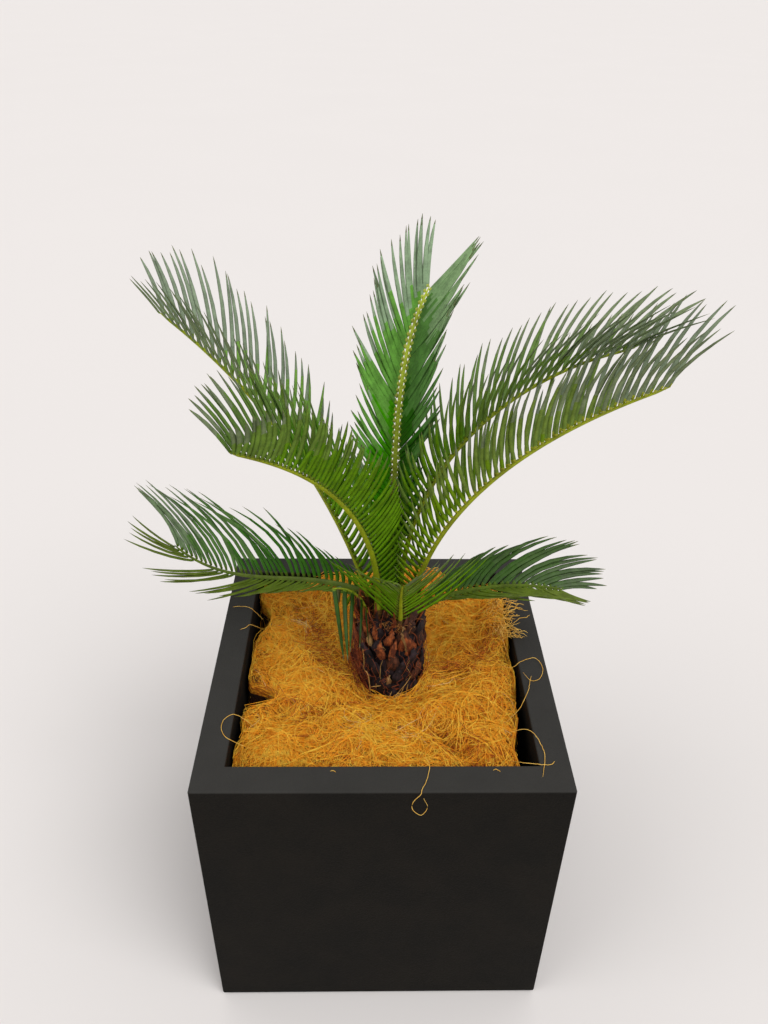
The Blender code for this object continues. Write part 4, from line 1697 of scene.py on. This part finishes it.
    def slots(self, frond: Frond, place: np.ndarray, side: np.ndarray,
              rng: np.random.Generator) -> np.ndarray:
        """Material numbers of the leaflets' faces, paler towards the frond's end and tips.

        Args:
            frond: The frond.
            place: Place of each leaflet in its row.
            side: 1 for the left row, -1 for the right.
            rng: Source of the random draws.

        Returns:
            A number by leaflet, band of faces and face, in the order of Crown's looks.
        """
        stations = np.array(self.stations)
        band = (stations[:-1] + stations[1:]) / 2
        far = self.far_place * np.maximum(place, 0) ** 1.2 + frond.haze
        far = far + rng.normal(0, 0.05, len(place))
        far = far[:, None] + self.far_band * band
        level = (far > self.far_steps[0]).astype(int) + (far > self.far_steps[1])
        slots = np.repeat(level[:, :, None], len(self.section), axis=2)
        slots += np.where(side > 0, 0, LEVELS)[:, None, None]
        slots[:, :, :2] = level[:, :, None] + 2 * LEVELS
        slots[:, 0] = 3 * LEVELS
        slots[:, -1] = 3 * LEVELS + 1
        return slots

    @staticmethod
    def drift(place: np.ndarray, side: np.ndarray, frond: Frond) -> np.ndarray:
        """Slow wandering of the leaflets' angles along each row, about -1 to 1."""
        flat = np.column_stack((place + side * 3, np.full(place.size, frond.heading / 10)))
        return 2 * ripple(flat, 0.11)

    def free_reach(self, line: Callable, half: np.ndarray, count: int,
                   obstacles: list[BVHTree]) -> np.ndarray:
        """How far each leaflet can reach before it meets something.

        Args:
            line: Gives the leaflets' points from their reach and parts of it.
            half: Half of the width of each, as a vector.
            count: Number of leaflets.
            obstacles: Search trees to keep clear of.

        Returns:
            Share of its length that each may have, 0 where there is no room.
        """
        parts = np.linspace(0.12, 1, self.probes)
        reach = np.zeros(count)
        open_rows = np.arange(count)
        for share in self.reaches:
            spots = line(np.full(count, share), parts)
            blocked = []
            for row in open_rows:
                probes = np.concatenate([spots[row] + half[row] * part for part in (0.7, -0.7)])
                if self.meets(probes, obstacles):
                    blocked.append(row)
                else:
                    reach[row] = share
            open_rows = np.array(blocked, int)
        return reach

    def meets(self, probes: np.ndarray, obstacles: list[BVHTree]) -> bool:
        """True where one of some points is too close to an obstacle."""
        return any(tree.find_nearest(Vector(p), self.clearance)[0] is not None
                   for p in probes for tree in obstacles)


@dataclass
class Crown:
    """All fronds of the plant."""

    grower: FrondGrower = field(default_factory=FrondGrower)
    top_look: Pair = (0.40, 0.22)
    under_look: Pair = (0.60, 0.10)
    rib_rough: float = 0.42
    leaf_foot_rough: float = 0.45
    tip_rough: float = 0.6
    foot_tone: tuple[Colour, Colour] = ((74, 48, 22), (128, 96, 44))
    tip_tone: Colour = (96, 104, 64)

    @staticmethod
    def levels(tone: Green | Under, look: Pair) -> list[bpy.types.Material]:
        """Finishes from a tone near the crown to that at the far end.

        Args:
            tone: The two tones.
            look: Roughness and strength of the plain reflection.

        Returns:
            One material for each level.
        """
        pair = np.array(tone.value, float)
        name = f"{type(tone).__name__}_{tone.name}".lower()
        colours = [tuple(between(pair, level / (LEVELS - 1))) for level in range(LEVELS)]
        return [LeafFinish(f"{name}_{level}", colour, *look).make()
                for level, colour in enumerate(colours)]

    @staticmethod
    def feet(name: str, part: int, rough: float) -> dict[Foot, bpy.types.Material]:
        """Finishes of one part of the Foot tones, by tone."""
        return {tone: LeafFinish(f"{name}_{tone.name.lower()}", tone.value[part], rough).make()
                for tone in Foot}

    def build(self, solids: list[BVHTree]) -> list[bpy.types.Object]:
        """Make the ribs, then the leaflets around them.

        Args:
            solids: Search trees of the pot, the fibre and the stem.

        Returns:
            The pieces.
        """
        tops = {tone: self.levels(tone, self.top_look) for tone in Green}
        unders = {tone: self.levels(tone, self.under_look) for tone in Under}
        ribs = self.feet("rib", 0, self.rib_rough)
        feet = self.feet("leaf_foot", 1, self.leaf_foot_rough)
        tip = LeafFinish("leaf_tip", self.tip_tone, self.tip_rough).make()
        foot = BarkFinish("rib_foot", *self.foot_tone).make()
        frames = [self.grower.frames(frond) for frond in FRONDS]
        made = [self.grower.build_rib(frond, rows, [ribs[frond.foot], foot])
                for frond, rows in zip(FRONDS, frames)]
        trees = [search_tree(rib) for rib in made]
        for own, (frond, rows) in enumerate(zip(FRONDS, frames)):
            obstacles = solids + trees[:own] + trees[own + 1:]
            looks = [*tops[frond.tones[0]], *tops[frond.tones[1]], *unders[frond.under],
                     feet[frond.foot], tip]
            made.append(self.grower.grow(frond, rows, obstacles, looks))
        return made


@dataclass
class Studio:
    """Plain pale floor, soft light and the camera at the photograph's angle."""

    floor_size: float = 120.0
    world_tone: Colour = (238, 236, 235)
    world_strength: float = 0.79
    key_strength: float = 1.35
    key_spread: float = 38.0
    key_from: Triple = (0.55, -0.55, 1.0)
    fill_strength: float = 0.45
    fill_from: Triple = (-0.8, -0.3, 0.8)
    focal: float = 829.364
    image_height: float = 1024.0
    sensor: float = 36.0
    sight: Pair = (0.01, 200.0)
    place: Triple = (-0.0148953, -0.6365607, 0.9409693)
    yaw: float = 1.37814
    pitch: float = 33.49631
    roll: float = 1.00055

    def build_floor(self, finish: FloorFinish) -> None:
        """Lay the floor at the pot's underside."""
        bm = bmesh.new()
        bmesh.ops.create_grid(bm, x_segments=8, y_segments=8, size=self.floor_size / 2)
        mesh = bpy.data.meshes.new("floor")
        bm.to_mesh(mesh)
        bm.free()
        mesh.materials.append(finish.make())
        floor = bpy.data.objects.new("floor", mesh)
        bpy.context.scene.collection.objects.link(floor)
        LOG.info("floor: %g m", self.floor_size)

    def build_light(self) -> None:
        """Light the scene by a pale sky and two broad, soft lamps."""
        scene = bpy.context.scene
        scene.view_settings.view_transform = "Standard"
        world = bpy.data.worlds.new("studio")
        world.use_nodes = True
        sky = world.node_tree.nodes["Background"]
        sky.inputs["Color"].default_value = light(self.world_tone)
        sky.inputs["Strength"].default_value = self.world_strength
        scene.world = world
        for name, strength, origin in (("key", self.key_strength, self.key_from),
                                       ("fill", self.fill_strength, self.fill_from)):
            lamp = bpy.data.lights.new(name, "SUN")
            lamp.energy = strength
            lamp.angle = math.radians(self.key_spread)
            item = bpy.data.objects.new(name, lamp)
            item.rotation_mode = "QUATERNION"
            item.rotation_quaternion = Vector(origin).to_track_quat("Z", "Y")
            scene.collection.objects.link(item)

    def build_camera(self) -> None:
        """Set the camera where the photograph was taken from."""
        yaw, pitch, roll = (math.radians(a) for a in (self.yaw, self.pitch, self.roll))
        ahead = Vector((math.sin(yaw) * math.cos(pitch), math.cos(yaw) * math.cos(pitch),
                        -math.sin(pitch)))
        right = Vector((math.cos(yaw), -math.sin(yaw), 0))
        right, over = turned(right, right.cross(ahead), roll)
        data = bpy.data.cameras.new("camera")
        data.sensor_width = self.sensor
        data.lens = self.focal * self.sensor / self.image_height
        data.clip_start, data.clip_end = self.sight
        camera = bpy.data.objects.new("camera", data)
        turn = Matrix((right, over, -ahead)).transposed().to_4x4()
        camera.matrix_world = Matrix.Translation(Vector(self.place)) @ turn
        bpy.context.scene.collection.objects.link(camera)
        bpy.context.scene.camera = camera


def main() -> None:
    """Build the studio and every piece of the plant in order."""
    logging.basicConfig(level=logging.INFO, format="%(message)s")
    studio = Studio()
    studio.build_camera()
    studio.build_light()
    studio.build_floor(FloorFinish())
    pot = Pot().build(ClayFinish())
    Soil().build(CrumbFinish())
    pad = FibrePad()
    # The mat's own finish, then the painted shade for its low faces in the notches.
    pad.build_mat([StrandFinish("fibre_mat", (188, 96, 18), (250, 168, 40), 0.0035, 0.8),
                   StrandFinish("fibre_deep", (30, 16, 10), (60, 32, 16), 0.0035, 0.8)])
    pad.build_strands()
    stem = Stem()
    barks = [BarkFinish(f"bark_{b.name.lower()}", *b.value) for b in Brown]
    stem.build_core(barks[0])
    stem.build_scales(barks)
    stem.build_fibres()
    stem.build_crown(barks)
    Crown().build([search_tree(pot), pad.tree, stem.tree])


if __name__ == "__main__":
    main()
